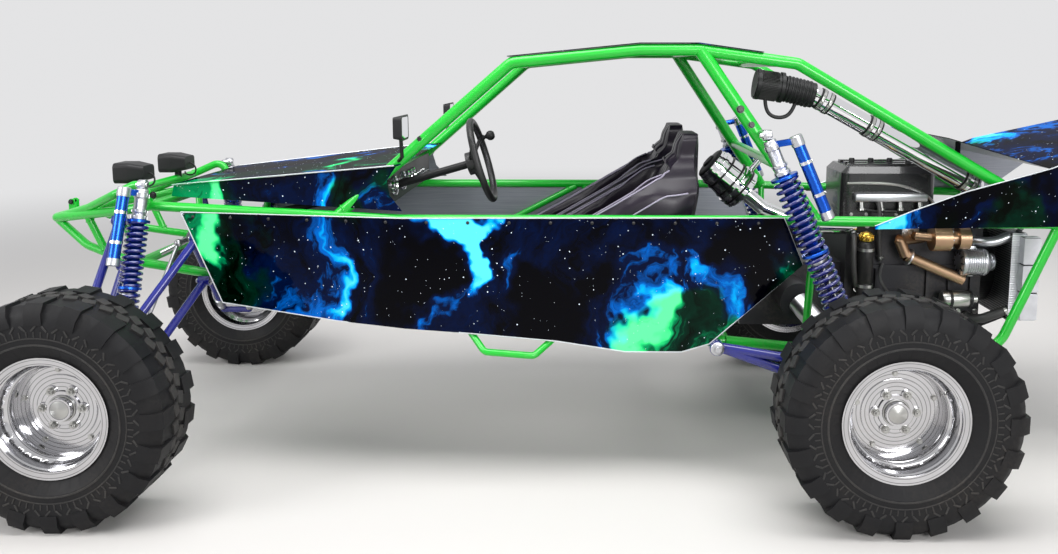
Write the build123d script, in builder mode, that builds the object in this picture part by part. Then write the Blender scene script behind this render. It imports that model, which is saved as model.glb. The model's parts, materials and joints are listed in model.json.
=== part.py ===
"""Dune buggy of the sand rail type: tube frame with roll cage, panels, long-travel suspension and rear engine.

Millimetres, +Z up, front towards -X, driver's side at -Y, origin on the ground under the middle of the vehicle.
"""
import os
from math import cos, radians, sin

from build123d import *

os.makedirs("parts", exist_ok=True)

# Driving dimensions: wheels and axles
WHEELBASE = 2886
FRONT_AXLE_X = -1833
REAR_AXLE_X = FRONT_AXLE_X + WHEELBASE
WHEEL_Y = 900
TYRE_RADIUS = 405
TYRE_WIDTH = 292
AXLE_Z = TYRE_RADIUS
RIM_LIP_RADIUS = 215
BEAD_RADIUS = 193
RIM_WIDTH = 240
RIM_WALL = 5
DISC_THICKNESS = 10
HUB_BORE_RADIUS = 38
STUD_CIRCLE = 140
STUD_COUNT = 6
STUD_HOLE_RADIUS = 8

# Driving dimensions: frame
CAGE_TUBE = 45
PILLAR_TUBE = 52
RAIL_TUBE = 38
BRACE_TUBE = 30
ARM_TUBE = 32
STEP_TUBE = 26
SHEET = 3
FIT = 0.3
RUNNING = 0.1

# Stations along the vehicle and the frame's main heights
NOSE_X = -2256
NOSE_Z = 950
TOWER_X = -1745
TOWER_Z = 1140
LAMP_BAR_X = -1878
LAMP_BAR_Z = 1080
BELT_FRONT_X = -1727
BELT_BEND_X = -700
SHOCK_BEND_X = 700
BELT_REAR_X = 1800
BELT_Z = 1012
BELT_FRONT_Z = 1040
BELT_REAR_Z = 985
FLOOR_RAIL_Z = 536
CRADLE_Z = 480
ROOF_Z = 1645
TAIL_X = 2275
TAIL_Z = 1335

# Half-widths of the frame at its stations, to the tubes' centre lines
BELT_Y = 551
BELT_FRONT_Y = 400
BELT_REAR_Y = 460
FLOOR_RAIL_Y = 528
BULKHEAD_Y = 300
ROOF_Y = 462
NOSE_Y = 150

PANEL_Y = BELT_Y + RAIL_TUBE / 2 + FIT
NOSE_TAPER = (BELT_Y - BELT_FRONT_Y) / (BELT_BEND_X - BELT_FRONT_X)
TAIL_TAPER = (BELT_Y - BELT_REAR_Y) / (BELT_REAR_X - SHOCK_BEND_X)

# Driving dimensions: steering
STEER_LOCK = 28
KINGPIN_Y = 745
STEER_ARM = 90
WHEEL_TILT = 16
STEERING_WHEEL_RADIUS = 175
SEAT_Y = 280


def belt_y(x):
    """Half-width of the belt rail's centre line at a station."""
    if x < BELT_BEND_X:
        return BELT_Y - NOSE_TAPER * (BELT_BEND_X - x)
    if x > SHOCK_BEND_X:
        return BELT_Y - TAIL_TAPER * (x - SHOCK_BEND_X)
    return BELT_Y


def belt_z(x):
    """Height of the belt rail's centre line at a station."""
    if x < BELT_BEND_X:
        return BELT_Z + (BELT_FRONT_Z - BELT_Z) * (BELT_BEND_X - x) / (BELT_BEND_X - BELT_FRONT_X)
    if x > SHOCK_BEND_X:
        return BELT_Z + (BELT_REAR_Z - BELT_Z) * (x - SHOCK_BEND_X) / (BELT_REAR_X - SHOCK_BEND_X)
    return BELT_Z


def left(points):
    """The same points on the driver's side, given as x, half-width, z."""
    return [(x, -y, z) for x, y, z in points]


def tube(points, diameter, bend=0):
    """Adds a round tube along the points, its corners bent to a radius."""
    with BuildLine() as path:
        if bend:
            FilletPolyline(*points, radius=bend)
        else:
            Polyline(*points)
    with BuildSketch(path.line ^ 0) as section:
        Circle(diameter / 2)
    sweep(section.sketch, path=path.line, transition=Transition.ROUND)


def bar(start, end, diameter, mode=Mode.ADD):
    """Adds a straight round bar between two points, or cuts its hole."""
    axis = Vector(*end) - Vector(*start)
    with BuildSketch(Plane(origin=start, z_dir=axis)) as section:
        Circle(diameter / 2)
    extrude(section.sketch, amount=axis.length, mode=mode)


def boss(centre, direction, diameter, length, mode=Mode.ADD):
    """Adds a round boss centred on a point, or cuts its hole."""
    half = Vector(*direction).normalized() * length / 2
    bar(tuple(Vector(*centre) - half), tuple(Vector(*centre) + half), diameter, mode)


def sheet(corners, thickness):
    """Adds a flat sheet, its corners given in order round its face, thickened along the face's mean normal."""
    points = [Vector(*corner) for corner in corners]
    normal = Vector(0, 0, 0)
    for this, following in zip(points, points[1:] + points[:1]):
        normal += this.cross(following)
    face = Plane(origin=points[0], z_dir=normal)
    flat = [face.to_local_coords(point) for point in points]
    with BuildSketch(face) as outline:
        Polygon(*[(point.X, point.Y) for point in flat], align=None)
    extrude(outline.sketch, amount=thickness)


def between(start, end, share):
    """The point at a share of the way from start to end."""
    return tuple(a + (b - a) * share for a, b in zip(start, end))


# Floor pan: flat sheet on the bottom rails, turned up to the front bulkhead
FLOOR_KINK = (-1100, 490, 662)
FLOOR_LOW = (138, FLOOR_RAIL_Y, FLOOR_RAIL_Z)
FLOOR_REAR = (520, FLOOR_RAIL_Y, FLOOR_RAIL_Z + 6)
BULKHEAD_REAR = (-1540, BULKHEAD_Y, 745)
BULKHEAD_FRONT = (-1828, BULKHEAD_Y, 792)

# Lower frame: bottom rails, cross tubes, and the step bar under each side panel
STEP_BAR = [
    (-478, FLOOR_RAIL_Y - 10, 600),
    (-395, 604, 516),
    (-208, 604, 501),
    (-112, FLOOR_RAIL_Y - 10, 566),
]
with BuildPart() as lower_frame:
    tube(left([BULKHEAD_FRONT, BULKHEAD_REAR, FLOOR_KINK, FLOOR_LOW, FLOOR_REAR]), RAIL_TUBE)
    tube(left(STEP_BAR), STEP_TUBE, bend=30)
    bar(*left([BULKHEAD_FRONT, (-1862, 371, 1010)]), BRACE_TUBE)
    bar(*left([BULKHEAD_REAR, (-1540, 428, 1014)]), BRACE_TUBE)
    bar(*left([(-780, 523, 626), (-60, 545, 1000)]), BRACE_TUBE)
    bar(*left([(280, FLOOR_RAIL_Y, 540), (-20, 545, 1000)]), BRACE_TUBE)
    mirror(about=Plane.XZ)
    for x, y, z in [BULKHEAD_FRONT, BULKHEAD_REAR, FLOOR_KINK, FLOOR_LOW, FLOOR_REAR]:
        bar((x, -y, z), (x, y, z), RAIL_TUBE)
lower_frame.part.label = "lower_frame"

# Belt frame: rails along the top of the side panels with their cross tubes
BELT_STATIONS = [BELT_FRONT_X, BELT_BEND_X, SHOCK_BEND_X, BELT_REAR_X]
with BuildPart() as belt_frame:
    tube(left([(x, belt_y(x), belt_z(x)) for x in BELT_STATIONS]), RAIL_TUBE)
    mirror(about=Plane.XZ)
    for x in (BELT_FRONT_X, BELT_REAR_X):
        bar((x, -belt_y(x), belt_z(x)), (x, belt_y(x), belt_z(x)), RAIL_TUBE)
    add(lower_frame.part, mode=Mode.SUBTRACT)
belt_frame.part.label = "belt_frame"

# Nose frame: pointed bumper loop with two ears for a flag or tow pin, lamp bar, shock towers and their braces
EAR_Y = 16
EAR_THICKNESS = 6
EAR_WIDTH = 26
EAR_HEIGHT = 62
EAR_HOLE_RADIUS = 6
LAMP_BAR_Y = 388
BUMPER = [(BELT_FRONT_X, BELT_FRONT_Y, BELT_FRONT_Z), (-1850, 385, 1018), (NOSE_X, NOSE_Y, NOSE_Z)]
NOSE_LOWER = [(-2240, 146, 940), (-2088, 222, 848), (-1968, 270, 818), BULKHEAD_FRONT]
TOWER_TUBE = [
    (-2215, 160, 962),
    (-2042, 272, 1012),
    (LAMP_BAR_X, LAMP_BAR_Y, LAMP_BAR_Z),
    (TOWER_X, 405, TOWER_Z),
    (BELT_FRONT_X - 4, BELT_FRONT_Y, BELT_FRONT_Z),
]
with BuildPart() as nose_frame:
    for y_side in (-1, 1):
        tube([(x, y_side * y, z) for x, y, z in TOWER_TUBE], BRACE_TUBE + 4, bend=[120, 60, 40])
        tube([(x, y_side * y, z) for x, y, z in NOSE_LOWER], BRACE_TUBE + 4, bend=150)
        bar((-2050, y_side * 268, 975), (-1985, y_side * 264, 822), BRACE_TUBE)
    tube(left(BUMPER) + BUMPER[::-1], RAIL_TUBE, bend=55)
    bar((LAMP_BAR_X, -LAMP_BAR_Y, LAMP_BAR_Z), (LAMP_BAR_X, LAMP_BAR_Y, LAMP_BAR_Z), BRACE_TUBE)
    for y in (-EAR_Y, EAR_Y):
        with BuildSketch(Plane.XZ.offset(-y)) as ear:
            with Locations((NOSE_X, NOSE_Z + EAR_HEIGHT / 2)):
                RectangleRounded(EAR_WIDTH, EAR_HEIGHT, EAR_WIDTH / 2 - 1)
            with Locations((NOSE_X, NOSE_Z + EAR_HEIGHT - EAR_WIDTH / 2)):
                Circle(EAR_HOLE_RADIUS, mode=Mode.SUBTRACT)
        extrude(ear.sketch, amount=EAR_THICKNESS / 2, both=True)
    add(lower_frame.part, mode=Mode.SUBTRACT)
    add(belt_frame.part, mode=Mode.SUBTRACT)
nose_frame.part.label = "nose_frame"

# Rear cradle: bent tubes under the engine that turn up to the tail, with cross tubes and uprights
CRADLE_Y = 440
CRADLE_CROSS_X = (950, 1130, 1490)
CRADLE_CROSS_TUBE = RAIL_TUBE - 2
CRADLE_TOP = CRADLE_Z + CRADLE_CROSS_TUBE / 2 + FIT
with BuildPart() as rear_cradle:
    cradle = [
        (FLOOR_REAR[0], FLOOR_RAIL_Y, FLOOR_REAR[2]),
        (900, CRADLE_Y, CRADLE_Z),
        (1600, CRADLE_Y, CRADLE_Z),
        (BELT_REAR_X, BELT_REAR_Y, BELT_REAR_Z),
    ]
    tube(left(cradle), RAIL_TUBE, bend=110)
    bar(*left([between(cradle[0], cradle[1], 0.85), (850, belt_y(850), BELT_Z)]), BRACE_TUBE)
    mirror(about=Plane.XZ)
    for x in CRADLE_CROSS_X:
        bar((x, -CRADLE_Y, CRADLE_Z), (x, CRADLE_Y, CRADLE_Z), CRADLE_CROSS_TUBE)
    add(lower_frame.part, mode=Mode.SUBTRACT)
    add(belt_frame.part, mode=Mode.SUBTRACT)
rear_cradle.part.label = "rear_cradle"

# Cage sides: one bent tube from the cowl over the roof to the tail, and a pillar down to the belt rail
CAGE_FOOT_X = -960
WINDSCREEN_TOP = (-295, ROOF_Y + 8, ROOF_Z - 48)
ROOF_BACK = (782, ROOF_Y, ROOF_Z - 52)
cage_line = [
    (CAGE_FOOT_X, belt_y(CAGE_FOOT_X) - (CAGE_TUBE - RAIL_TUBE), belt_z(CAGE_FOOT_X)),
    WINDSCREEN_TOP,
    (187, ROOF_Y, ROOF_Z),
    (410, ROOF_Y, ROOF_Z),
    ROOF_BACK,
    (1770, 446, 1020),
]
PILLAR_TOP = (415, ROOF_Y, ROOF_Z)
PILLAR_FOOT = (845, belt_y(845), BELT_Z)


def cage_side(y_side):
    """Adds the bent tube and the pillar of one side of the cage."""
    tube([(x, y_side * y, z) for x, y, z in cage_line], CAGE_TUBE, bend=60)
    top, foot = ((x, y_side * y, z) for x, y, z in (PILLAR_TOP, PILLAR_FOOT))
    bar(top, foot, PILLAR_TUBE)


with BuildPart() as cage_left:
    cage_side(-1)
    for neighbour in (belt_frame, rear_cradle):
        add(neighbour.part, mode=Mode.SUBTRACT)
cage_left.part.label = "cage_left"

with BuildPart() as cage_right:
    cage_side(1)
    for neighbour in (belt_frame, rear_cradle):
        add(neighbour.part, mode=Mode.SUBTRACT)
cage_right.part.label = "cage_right"

# Cage cross tubes: front and rear of the roof, top of the pillars, harness bar and cowl
HARNESS = between(PILLAR_TOP, PILLAR_FOOT, 0.68)
COWL = between(cage_line[0], WINDSCREEN_TOP, 0.25)
ROOF_END = between(cage_line[3], ROOF_BACK, 0.86)
CROSS_TUBES = [WINDSCREEN_TOP, (410, ROOF_Y, ROOF_Z), ROOF_END, HARNESS, COWL]
with BuildPart() as cage_cross:
    for x, y, z in CROSS_TUBES:
        bar((x, -y, z), (x, y, z), RAIL_TUBE)
    for neighbour in (cage_left, cage_right):
        add(neighbour.part, mode=Mode.SUBTRACT)
cage_cross.part.label = "cage_cross"

# Floor pan
FLOOR_TOP = RAIL_TUBE / 2 + FIT
with BuildPart() as floor_pan:
    edge = [BULKHEAD_REAR, FLOOR_KINK, FLOOR_LOW, FLOOR_REAR]
    for start, end in zip(edge[:-1], edge[1:]):
        near = [(x, -y + RAIL_TUBE, z + FLOOR_TOP) for x, y, z in (start, end)]
        far = [(x, y - RAIL_TUBE, z + FLOOR_TOP) for x, y, z in (end, start)]
        sheet(near + far, SHEET)
    add(lower_frame.part, mode=Mode.SUBTRACT)
floor_pan.part.label = "floor_pan"

# Side panels: sheet that follows the belt rail in plan, with a return round the front corner
PANEL_OUTLINE = [
    (-1590, 1022),
    (-1434, 668),
    (-960, 614),
    (-459, 579),
    (-119, 549),
    (138, 509),
    (350, 509),
    (455, 541),
    (799, 847),
    (724, 1025),
    (BELT_BEND_X, 1021),
]
with BuildPart() as side_panel_left:
    with BuildSketch(Plane.XY.offset(400)) as plan:
        with BuildLine():
            inner = [(x, -belt_y(x) - RAIL_TUBE / 2 - FIT) for x in (-1650, BELT_BEND_X, SHOCK_BEND_X)]
            inner.append((850, -PANEL_Y))
            outer = [(x, y - SHEET) for x, y in inner[::-1]]
            Polyline(*inner, *outer, close=True)
        make_face()
    extrude(amount=800)
    with BuildSketch(Plane.XZ) as outline:
        Polygon(*PANEL_OUTLINE, align=None)
    extrude(outline.sketch, amount=2 * PANEL_Y, both=True, mode=Mode.INTERSECT)
side_panel_left.part.label = "side_panel_left"

with BuildPart() as side_panel_right:
    add(mirror(side_panel_left.part, about=Plane.XZ, mode=Mode.PRIVATE))
side_panel_right.part.label = "side_panel_right"

# Hood and nose side panels
HOOD_REAR = (-712, 556, 1216)
HOOD_FRONT = (-1660, 364, 1116)
with BuildPart() as hood:
    corners = left([HOOD_REAR, HOOD_FRONT]) + [HOOD_FRONT, HOOD_REAR]
    sheet(corners, -SHEET)
    for neighbour in (cage_left, cage_right):
        add(neighbour.part, mode=Mode.SUBTRACT)
hood.part.label = "hood"

NOSE_SIDE = [
    (-700, 566, 1046),
    (-752, 562, 1104),
    (-767, 556, 1160),
    (-730, 551, 1213.6),
    (-1655, 357, 1116),
    (-1668, 376, 1075),
]
with BuildPart() as nose_side_panels:
    sheet(left(NOSE_SIDE), SHEET)
    mirror(about=Plane.XZ)
    for neighbour in (belt_frame, cage_left, cage_right, hood):
        add(neighbour.part, mode=Mode.SUBTRACT)
nose_side_panels.part.label = "nose_side_panels"

# Roof sheet, folded over the front and back cross tubes
ROOF_LIFT = CAGE_TUBE / 2 + FIT
with BuildPart() as roof_panel:
    with BuildSketch(Plane.XZ) as profile:
        with BuildLine():
            line = [(-310, ROOF_Z - 48), (187, ROOF_Z + 1), (410, ROOF_Z + 1), (650, ROOF_Z - 33)]
            low = [(x, z + ROOF_LIFT) for x, z in line]
            Polyline(*low, *[(x, z + SHEET) for x, z in low[::-1]], close=True)
        make_face()
    extrude(profile.sketch, amount=ROOF_Y + 20, both=True)
    for neighbour in (cage_left, cage_right, cage_cross):
        add(neighbour.part, mode=Mode.SUBTRACT)
roof_panel.part.label = "roof_panel"

# Tail: side panels below the down-bars, and a deck that dips and then kicks up
DECK_DIP = (1738, 1200)
DECK_KICK = (1850, 1242)
DECK_LINE = [(1350, 1314), DECK_DIP, DECK_KICK, (TAIL_X, TAIL_Z)]
DECK_POST_X = 1400
TAIL_OUTLINE = [
    (1071, 978),
    (1900, 978),
    (2170, 1180),
    (TAIL_X - 2, TAIL_Z - 1),
    (DECK_KICK[0], DECK_KICK[1] - FIT),
    (DECK_DIP[0], DECK_DIP[1] - FIT),
    (1415, 1116),
    (1205, 1042),
    (1071, 990),
]
tail_plan = [(x, belt_y(x) + RAIL_TUBE / 2 + FIT) for x in (1040, BELT_REAR_X)]
tail_plan.append((TAIL_X, tail_plan[-1][1]))
with BuildPart() as tail_side_panels:
    with BuildSketch(Plane.XY.offset(900)) as plan:
        Polygon(*tail_plan, *[(x, y + SHEET) for x, y in tail_plan[::-1]], align=None)
    extrude(plan.sketch, amount=500)
    mirror(about=Plane.XZ)
    with BuildSketch(Plane.XZ) as outline:
        Polygon(*TAIL_OUTLINE, align=None)
    extrude(outline.sketch, amount=PANEL_Y, both=True, mode=Mode.INTERSECT)
    for neighbour in (belt_frame, rear_cradle, cage_left, cage_right):
        add(neighbour.part, mode=Mode.SUBTRACT)
tail_side_panels.part.label = "tail_side_panels"

with BuildPart() as tail_deck:
    with BuildSketch(Plane.XZ) as profile:
        with BuildLine():
            Polyline(*DECK_LINE, *[(x, z + SHEET) for x, z in DECK_LINE[::-1]], close=True)
        make_face()
    extrude(profile.sketch, amount=tail_plan[-1][1] + SHEET, both=True)
    for y in (-ROOF_Y + 12, ROOF_Y - 12):
        bar((DECK_POST_X, y, 1220), (DECK_POST_X, y, 1300), BRACE_TUBE - 10)
    for neighbour in (cage_left, cage_right, tail_side_panels):
        add(neighbour.part, mode=Mode.SUBTRACT)
tail_deck.part.label = "tail_deck"

# Steering column line: from the wheel, through the dash
WHEEL_CENTRE = (-430, -SEAT_Y, 1210)
STEER_AXIS = Vector(cos(radians(WHEEL_TILT)), 0, sin(radians(WHEEL_TILT)))
COLUMN = 32
COLUMN_PIN = 19
HUB_BACK = 60
RACK_X = -1650
RACK_Z = 880
COLUMN_START = tuple(Vector(*WHEEL_CENTRE) - STEER_AXIS * (HUB_BACK + 2))
COLUMN_END = tuple(Vector(*WHEEL_CENTRE) - STEER_AXIS * 380)

# Dash: panel behind the cowl tube with rounded corners
DASH_X = COWL[0] + RAIL_TUBE / 2 + FIT
with BuildPart() as dash:
    with BuildSketch(Plane.YZ.offset(DASH_X)) as face:
        with Locations((0, 1112)):
            RectangleRounded(940, 120, 30)
    extrude(face.sketch, amount=SHEET)
    bar(COLUMN_START, COLUMN_END, COLUMN + 2 * FIT, mode=Mode.SUBTRACT)
dash.part.label = "dash"

# Seats: high-backed shells with bolsters on the floor pan, the sitter's space cut between them
SEAT_HALF = 226
HEADREST_HALF = 130
SEAT_FEET = [
    (FLOOR_REAR[0] - 220, FLOOR_REAR[2] - 3 + FLOOR_TOP + SHEET + FIT),
    (FLOOR_LOW[0], FLOOR_LOW[2] + FLOOR_TOP + SHEET + FIT),
    (-260, FLOOR_LOW[2] + 40.6 + FLOOR_TOP + SHEET + FIT),
]
SEAT_SIDE = [
    (-300, 650),
    (-330, 800),
    (-285, 880),
    (288, 1212),
    (345, 1255),
    (352, 1360),
    (430, 1360),
    (420, 1130),
    (370, 690),
    *SEAT_FEET,
]
SEAT_FRONT = [
    # half-width, z: straight sides, rounded shoulders and the headrest
    (SEAT_HALF, 500),
    (SEAT_HALF, 1130),
    (HEADREST_HALF + 62, 1190),
    (HEADREST_HALF + 18, 1226),
    (HEADREST_HALF, 1262),
    (HEADREST_HALF, 1330),
    (HEADREST_HALF - 24, 1362),
]
SITTER = [(-400, 930), (-400, 790), (120, 720), (300, 1150), (330, 1212), (200, 1250)]
with BuildPart() as seat_left:
    with BuildSketch(Plane.XZ.offset(SEAT_Y)) as profile:
        Polygon(*SEAT_SIDE, align=None)
    extrude(profile.sketch, amount=SEAT_HALF, both=True)
    with BuildSketch(Plane.XZ.offset(SEAT_Y)) as profile:
        Polygon(*SITTER, align=None)
    extrude(profile.sketch, amount=SEAT_HALF - 70, both=True, mode=Mode.SUBTRACT)
    with BuildSketch(Plane.YZ.offset(SEAT_SIDE[0][0] - 100)) as front:
        near = [(-SEAT_Y - half, z) for half, z in SEAT_FRONT]
        far = [(-SEAT_Y + half, z) for half, z in SEAT_FRONT[::-1]]
        Polygon(*near, *far, align=None)
    extrude(front.sketch, amount=1000, mode=Mode.INTERSECT)
seat_left.part.label = "seat_left"

with BuildPart() as seat_right:
    add(mirror(seat_left.part, about=Plane.XZ, mode=Mode.PRIVATE))
seat_right.part.label = "seat_right"

# Steering: wheel, column, and a rack with tie rods
wheel_plane = Plane(origin=WHEEL_CENTRE, x_dir=(0, 1, 0), z_dir=STEER_AXIS)
GRIP = 28
with BuildPart() as steering_wheel:
    with BuildSketch(Plane(origin=WHEEL_CENTRE, x_dir=(0, 1, 0), z_dir=STEER_AXIS.cross(Vector(0, 1, 0)))) as grip:
        with Locations((STEERING_WHEEL_RADIUS - GRIP / 2, 0)):
            Circle(GRIP / 2)
    revolve(grip.sketch, axis=Axis(WHEEL_CENTRE, STEER_AXIS))
    for turn in (30, 150, 270):
        spoke = wheel_plane.x_dir * cos(radians(turn)) + wheel_plane.y_dir * sin(radians(turn))
        start = Vector(*WHEEL_CENTRE) + spoke * 40 - STEER_AXIS * 38
        bar(tuple(start), tuple(Vector(*WHEEL_CENTRE) + spoke * (STEERING_WHEEL_RADIUS - GRIP / 2)), 16)
    with BuildSketch(wheel_plane.offset(-HUB_BACK)) as hub:
        Circle(46)
        Circle(COLUMN_PIN / 2 + RUNNING / 2, mode=Mode.SUBTRACT)
    extrude(hub.sketch, amount=34)
steering_wheel.part.label = "steering_wheel"

with BuildPart() as steering_column:
    tube([COLUMN_START, COLUMN_END, (RACK_X + 20, -60, RACK_Z + 15)], COLUMN)
    bar(COLUMN_START, tuple(Vector(*COLUMN_START) + STEER_AXIS * 26), COLUMN_PIN)
    for neighbour in (lower_frame, cage_cross, cage_left, hood):
        add(neighbour.part, mode=Mode.SUBTRACT)
steering_column.part.label = "steering_column"

RACK_HALF = 200
RACK_ROD = 22
RACK_HOUSING = 60
with BuildPart() as rack_housing:
    boss((RACK_X, 0, RACK_Z), (0, 1, 0), RACK_HOUSING, 2 * RACK_HALF)
    boss((RACK_X, 0, RACK_Z), (0, 1, 0), RACK_HOUSING - 24, 2 * RACK_HALF + 10)
    for y in (-150, 150):
        for foot in (BULKHEAD_FRONT, BULKHEAD_REAR):
            bar((RACK_X, y, RACK_Z), (foot[0], y, foot[2]), RACK_ROD)
    boss((RACK_X, 0, RACK_Z), (0, 1, 0), RACK_ROD + RUNNING, 4 * RACK_HALF, mode=Mode.SUBTRACT)
    for neighbour in (lower_frame, steering_column):
        add(neighbour.part, mode=Mode.SUBTRACT)
rack_housing.part.label = "rack_housing"

STEER_ARM_Z = 392
TIE_END = (FRONT_AXLE_X + STEER_ARM, KINGPIN_Y, STEER_ARM_Z - 33)
TIE_ROD = 16
ROD_END = 24
RACK_STROKE = STEER_ARM * sin(radians(STEER_LOCK))
with BuildPart() as steering_rack:
    rack_end = BULKHEAD_Y + RACK_STROKE + 3
    boss((RACK_X, 0, RACK_Z), (0, 1, 0), RACK_ROD, 2 * rack_end)
    for y_side in (-1, 1):
        knot = (RACK_X, y_side * rack_end, RACK_Z)
        rod_end = (TIE_END[0], y_side * TIE_END[1], TIE_END[2])
        with Locations(knot):
            Sphere(RACK_ROD * 0.75)
        bar(knot, rod_end, TIE_ROD)
        boss(rod_end, (0, 0, 1), ROD_END, TIE_ROD + 2)
steering_rack.part.label = "steering_rack"

# Front suspension: upper and lower arms, coil-over shocks with reservoirs
UPPER_ARM = {
    "front": (-1855, 399, 981),
    "rear": (-1540, 420, 915),
    "front_end": (-1900, 690, 545),
    "rear_end": (-1762, 690, 535),
}
LOWER_ARM = {
    "front": (-1890, 317, 781),
    "rear": (-1557, 331, 723),
    "front_end": (-1900, 690, 330),
    "rear_end": (-1766, 690, 330),
}
UPPER_BALL_Z = 508
LOWER_BALL_Z = 318
BALL_CUP = 46
CUP_HEIGHT = 30
BALL_PIN = 20
SHOCK_REST = 0.84
frame_nodes = (lower_frame, belt_frame, nose_frame, rear_cradle, cage_left, cage_right)


def arm(points, ball_z):
    """Adds one wishbone on the driver's side, with bushes at the frame and a cup for the ball joint."""
    ends = {name: (x, -y, z) for name, (x, y, z) in points.items()}
    for side_name in ("front", "rear"):
        bar(ends[side_name], ends[side_name + "_end"], ARM_TUBE)
        boss(ends[side_name], (1, 0, 0), ARM_TUBE + 8, 46)
    bar(ends["front_end"], ends["rear_end"], ARM_TUBE)
    ball = (FRONT_AXLE_X, -KINGPIN_Y, ball_z)
    bar(between(ends["front_end"], ends["rear_end"], 0.5), ball, ARM_TUBE - 10)
    boss(ball, (0, 0, 1), BALL_CUP, CUP_HEIGHT)
    boss(ball, (0, 0, 1), BALL_PIN + RUNNING, 3 * CUP_HEIGHT, mode=Mode.SUBTRACT)


with BuildPart() as front_upper_arms:
    arm(UPPER_ARM, UPPER_BALL_Z)
    mirror(about=Plane.XZ)
    for neighbour in frame_nodes:
        add(neighbour.part, mode=Mode.SUBTRACT)
front_upper_arms.part.label = "front_upper_arms"

with BuildPart() as front_lower_arms:
    arm(LOWER_ARM, LOWER_BALL_Z)
    rest = [between(LOWER_ARM[name], LOWER_ARM[name + "_end"], SHOCK_REST) for name in ("front", "rear")]
    bar(*left(rest), ARM_TUBE - 6)
    mirror(about=Plane.XZ)
    for neighbour in frame_nodes:
        add(neighbour.part, mode=Mode.SUBTRACT)
front_lower_arms.part.label = "front_lower_arms"


WIRE = 9
SEAT_THICKNESS = 10
SPRING_SHARE = (0.19, 0.85)
SLIDER_SHARE = 0.55


def coilover(top, bottom, reservoir, coil_diameter):
    """Adds a coil-over shock on the driver's side: body, rod, eyes, spring seats and a piggyback reservoir."""
    bar(between(top, bottom, 0.02), between(top, bottom, 0.62), 46)
    bar(between(top, bottom, 0.6), bottom, 24)
    for share in (*SPRING_SHARE, SLIDER_SHARE):
        boss(between(top, bottom, share), Vector(*bottom) - Vector(*top), coil_diameter + 2, SEAT_THICKNESS)
    bar(between(top, bottom, SPRING_SHARE[0]), between(top, bottom, SPRING_SHARE[0] - 0.05), 58)
    bar(between(top, bottom, SPRING_SHARE[1]), between(top, bottom, SPRING_SHARE[1] + 0.05), 40)
    bar(between(top, bottom, SLIDER_SHARE), between(top, bottom, SLIDER_SHARE + 0.06), 56)
    for eye in (top, bottom):
        boss(eye, (1, 0, 0), 40, 30)
    start, end = reservoir
    bar(start, end, 44)
    bar(start, between(start, end, 0.12), 50)
    bar(between(start, end, 0.9), end, 48)
    bar(between(top, bottom, 0.04), between(start, end, 0.06), 24)


def coil(top, bottom, coil_diameter, turns):
    """Adds the coil spring between a shock's two spring seats."""
    start, end = (between(top, bottom, share) for share in SPRING_SHARE)
    axis = Vector(*end) - Vector(*start)
    radius = coil_diameter / 2 - WIRE / 2
    with BuildLine() as turn:
        Helix(axis.length / turns, axis.length, radius, center=start, direction=axis)
    rim = turn.line @ 0
    with BuildSketch(Plane(origin=rim, x_dir=rim - Vector(*start), z_dir=turn.line % 0)) as wire:
        Rectangle(WIRE, WIRE)
    sweep(wire.sketch, path=turn.line, is_frenet=True)


FRONT_SHOCK_TOP = (-1733, -438, 1128)
FRONT_SHOCK_END = (-1779, -632, 428)
FRONT_RESERVOIR = ((-1776, -496, 1126), (-1800, -578, 835))
COIL_FRONT = 84
COIL_REAR = 100
COIL_TURNS = 16
with BuildPart() as front_coilovers:
    coilover(FRONT_SHOCK_TOP, FRONT_SHOCK_END, FRONT_RESERVOIR, COIL_FRONT)
    mirror(about=Plane.XZ)
    for neighbour in frame_nodes + (front_upper_arms, front_lower_arms):
        add(neighbour.part, mode=Mode.SUBTRACT)
    for y_side in (-1, 1):
        coil(*[(x, -y_side * y, z) for x, y, z in (FRONT_SHOCK_TOP, FRONT_SHOCK_END)], COIL_FRONT, COIL_TURNS)
front_coilovers.part.label = "front_coilovers"

# Rear suspension: trailing arms with hub carriers, coil-overs, half-shafts
ARM_PIVOT = (484, 556, 527)
CARRIER_Y = 706
REAR_SHOCK_TOP = (642, -622, 1336)
REAR_SHOCK_END = (972, -672, 560)
REAR_RESERVOIR = ((738, -640, 1336), (866, -660, 1034))
with BuildPart() as trailing_arms:
    pivot = (ARM_PIVOT[0], -ARM_PIVOT[1], ARM_PIVOT[2])
    hub = (REAR_AXLE_X, -CARRIER_Y, AXLE_Z)
    boss(pivot, (0, 1, 0), 56, 70)
    bar(pivot, (hub[0] - 40, hub[1] + 20, hub[2] + 70), ARM_TUBE + 4)
    bar(pivot, (hub[0] - 40, hub[1] + 20, hub[2] - 40), ARM_TUBE + 4)
    boss(hub, (0, 1, 0), 190, 90)
    bar(hub, (hub[0], -WHEEL_Y - 6, hub[2]), 2 * HUB_BORE_RADIUS - RUNNING)
    bar((REAR_SHOCK_END[0], -672, 478), (REAR_SHOCK_END[0], -672, 560), 36)
    mirror(about=Plane.XZ)
    for neighbour in frame_nodes:
        add(neighbour.part, mode=Mode.SUBTRACT)
trailing_arms.part.label = "trailing_arms"

with BuildPart() as rear_coilovers:
    coilover(REAR_SHOCK_TOP, REAR_SHOCK_END, REAR_RESERVOIR, COIL_REAR)
    bar(REAR_SHOCK_TOP, (640, -500, 1338), 26)
    mirror(about=Plane.XZ)
    for neighbour in frame_nodes + (trailing_arms,):
        add(neighbour.part, mode=Mode.SUBTRACT)
    for y_side in (-1, 1):
        coil(*[(x, -y_side * y, z) for x, y, z in (REAR_SHOCK_TOP, REAR_SHOCK_END)], COIL_REAR, COIL_TURNS)
rear_coilovers.part.label = "rear_coilovers"

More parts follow.
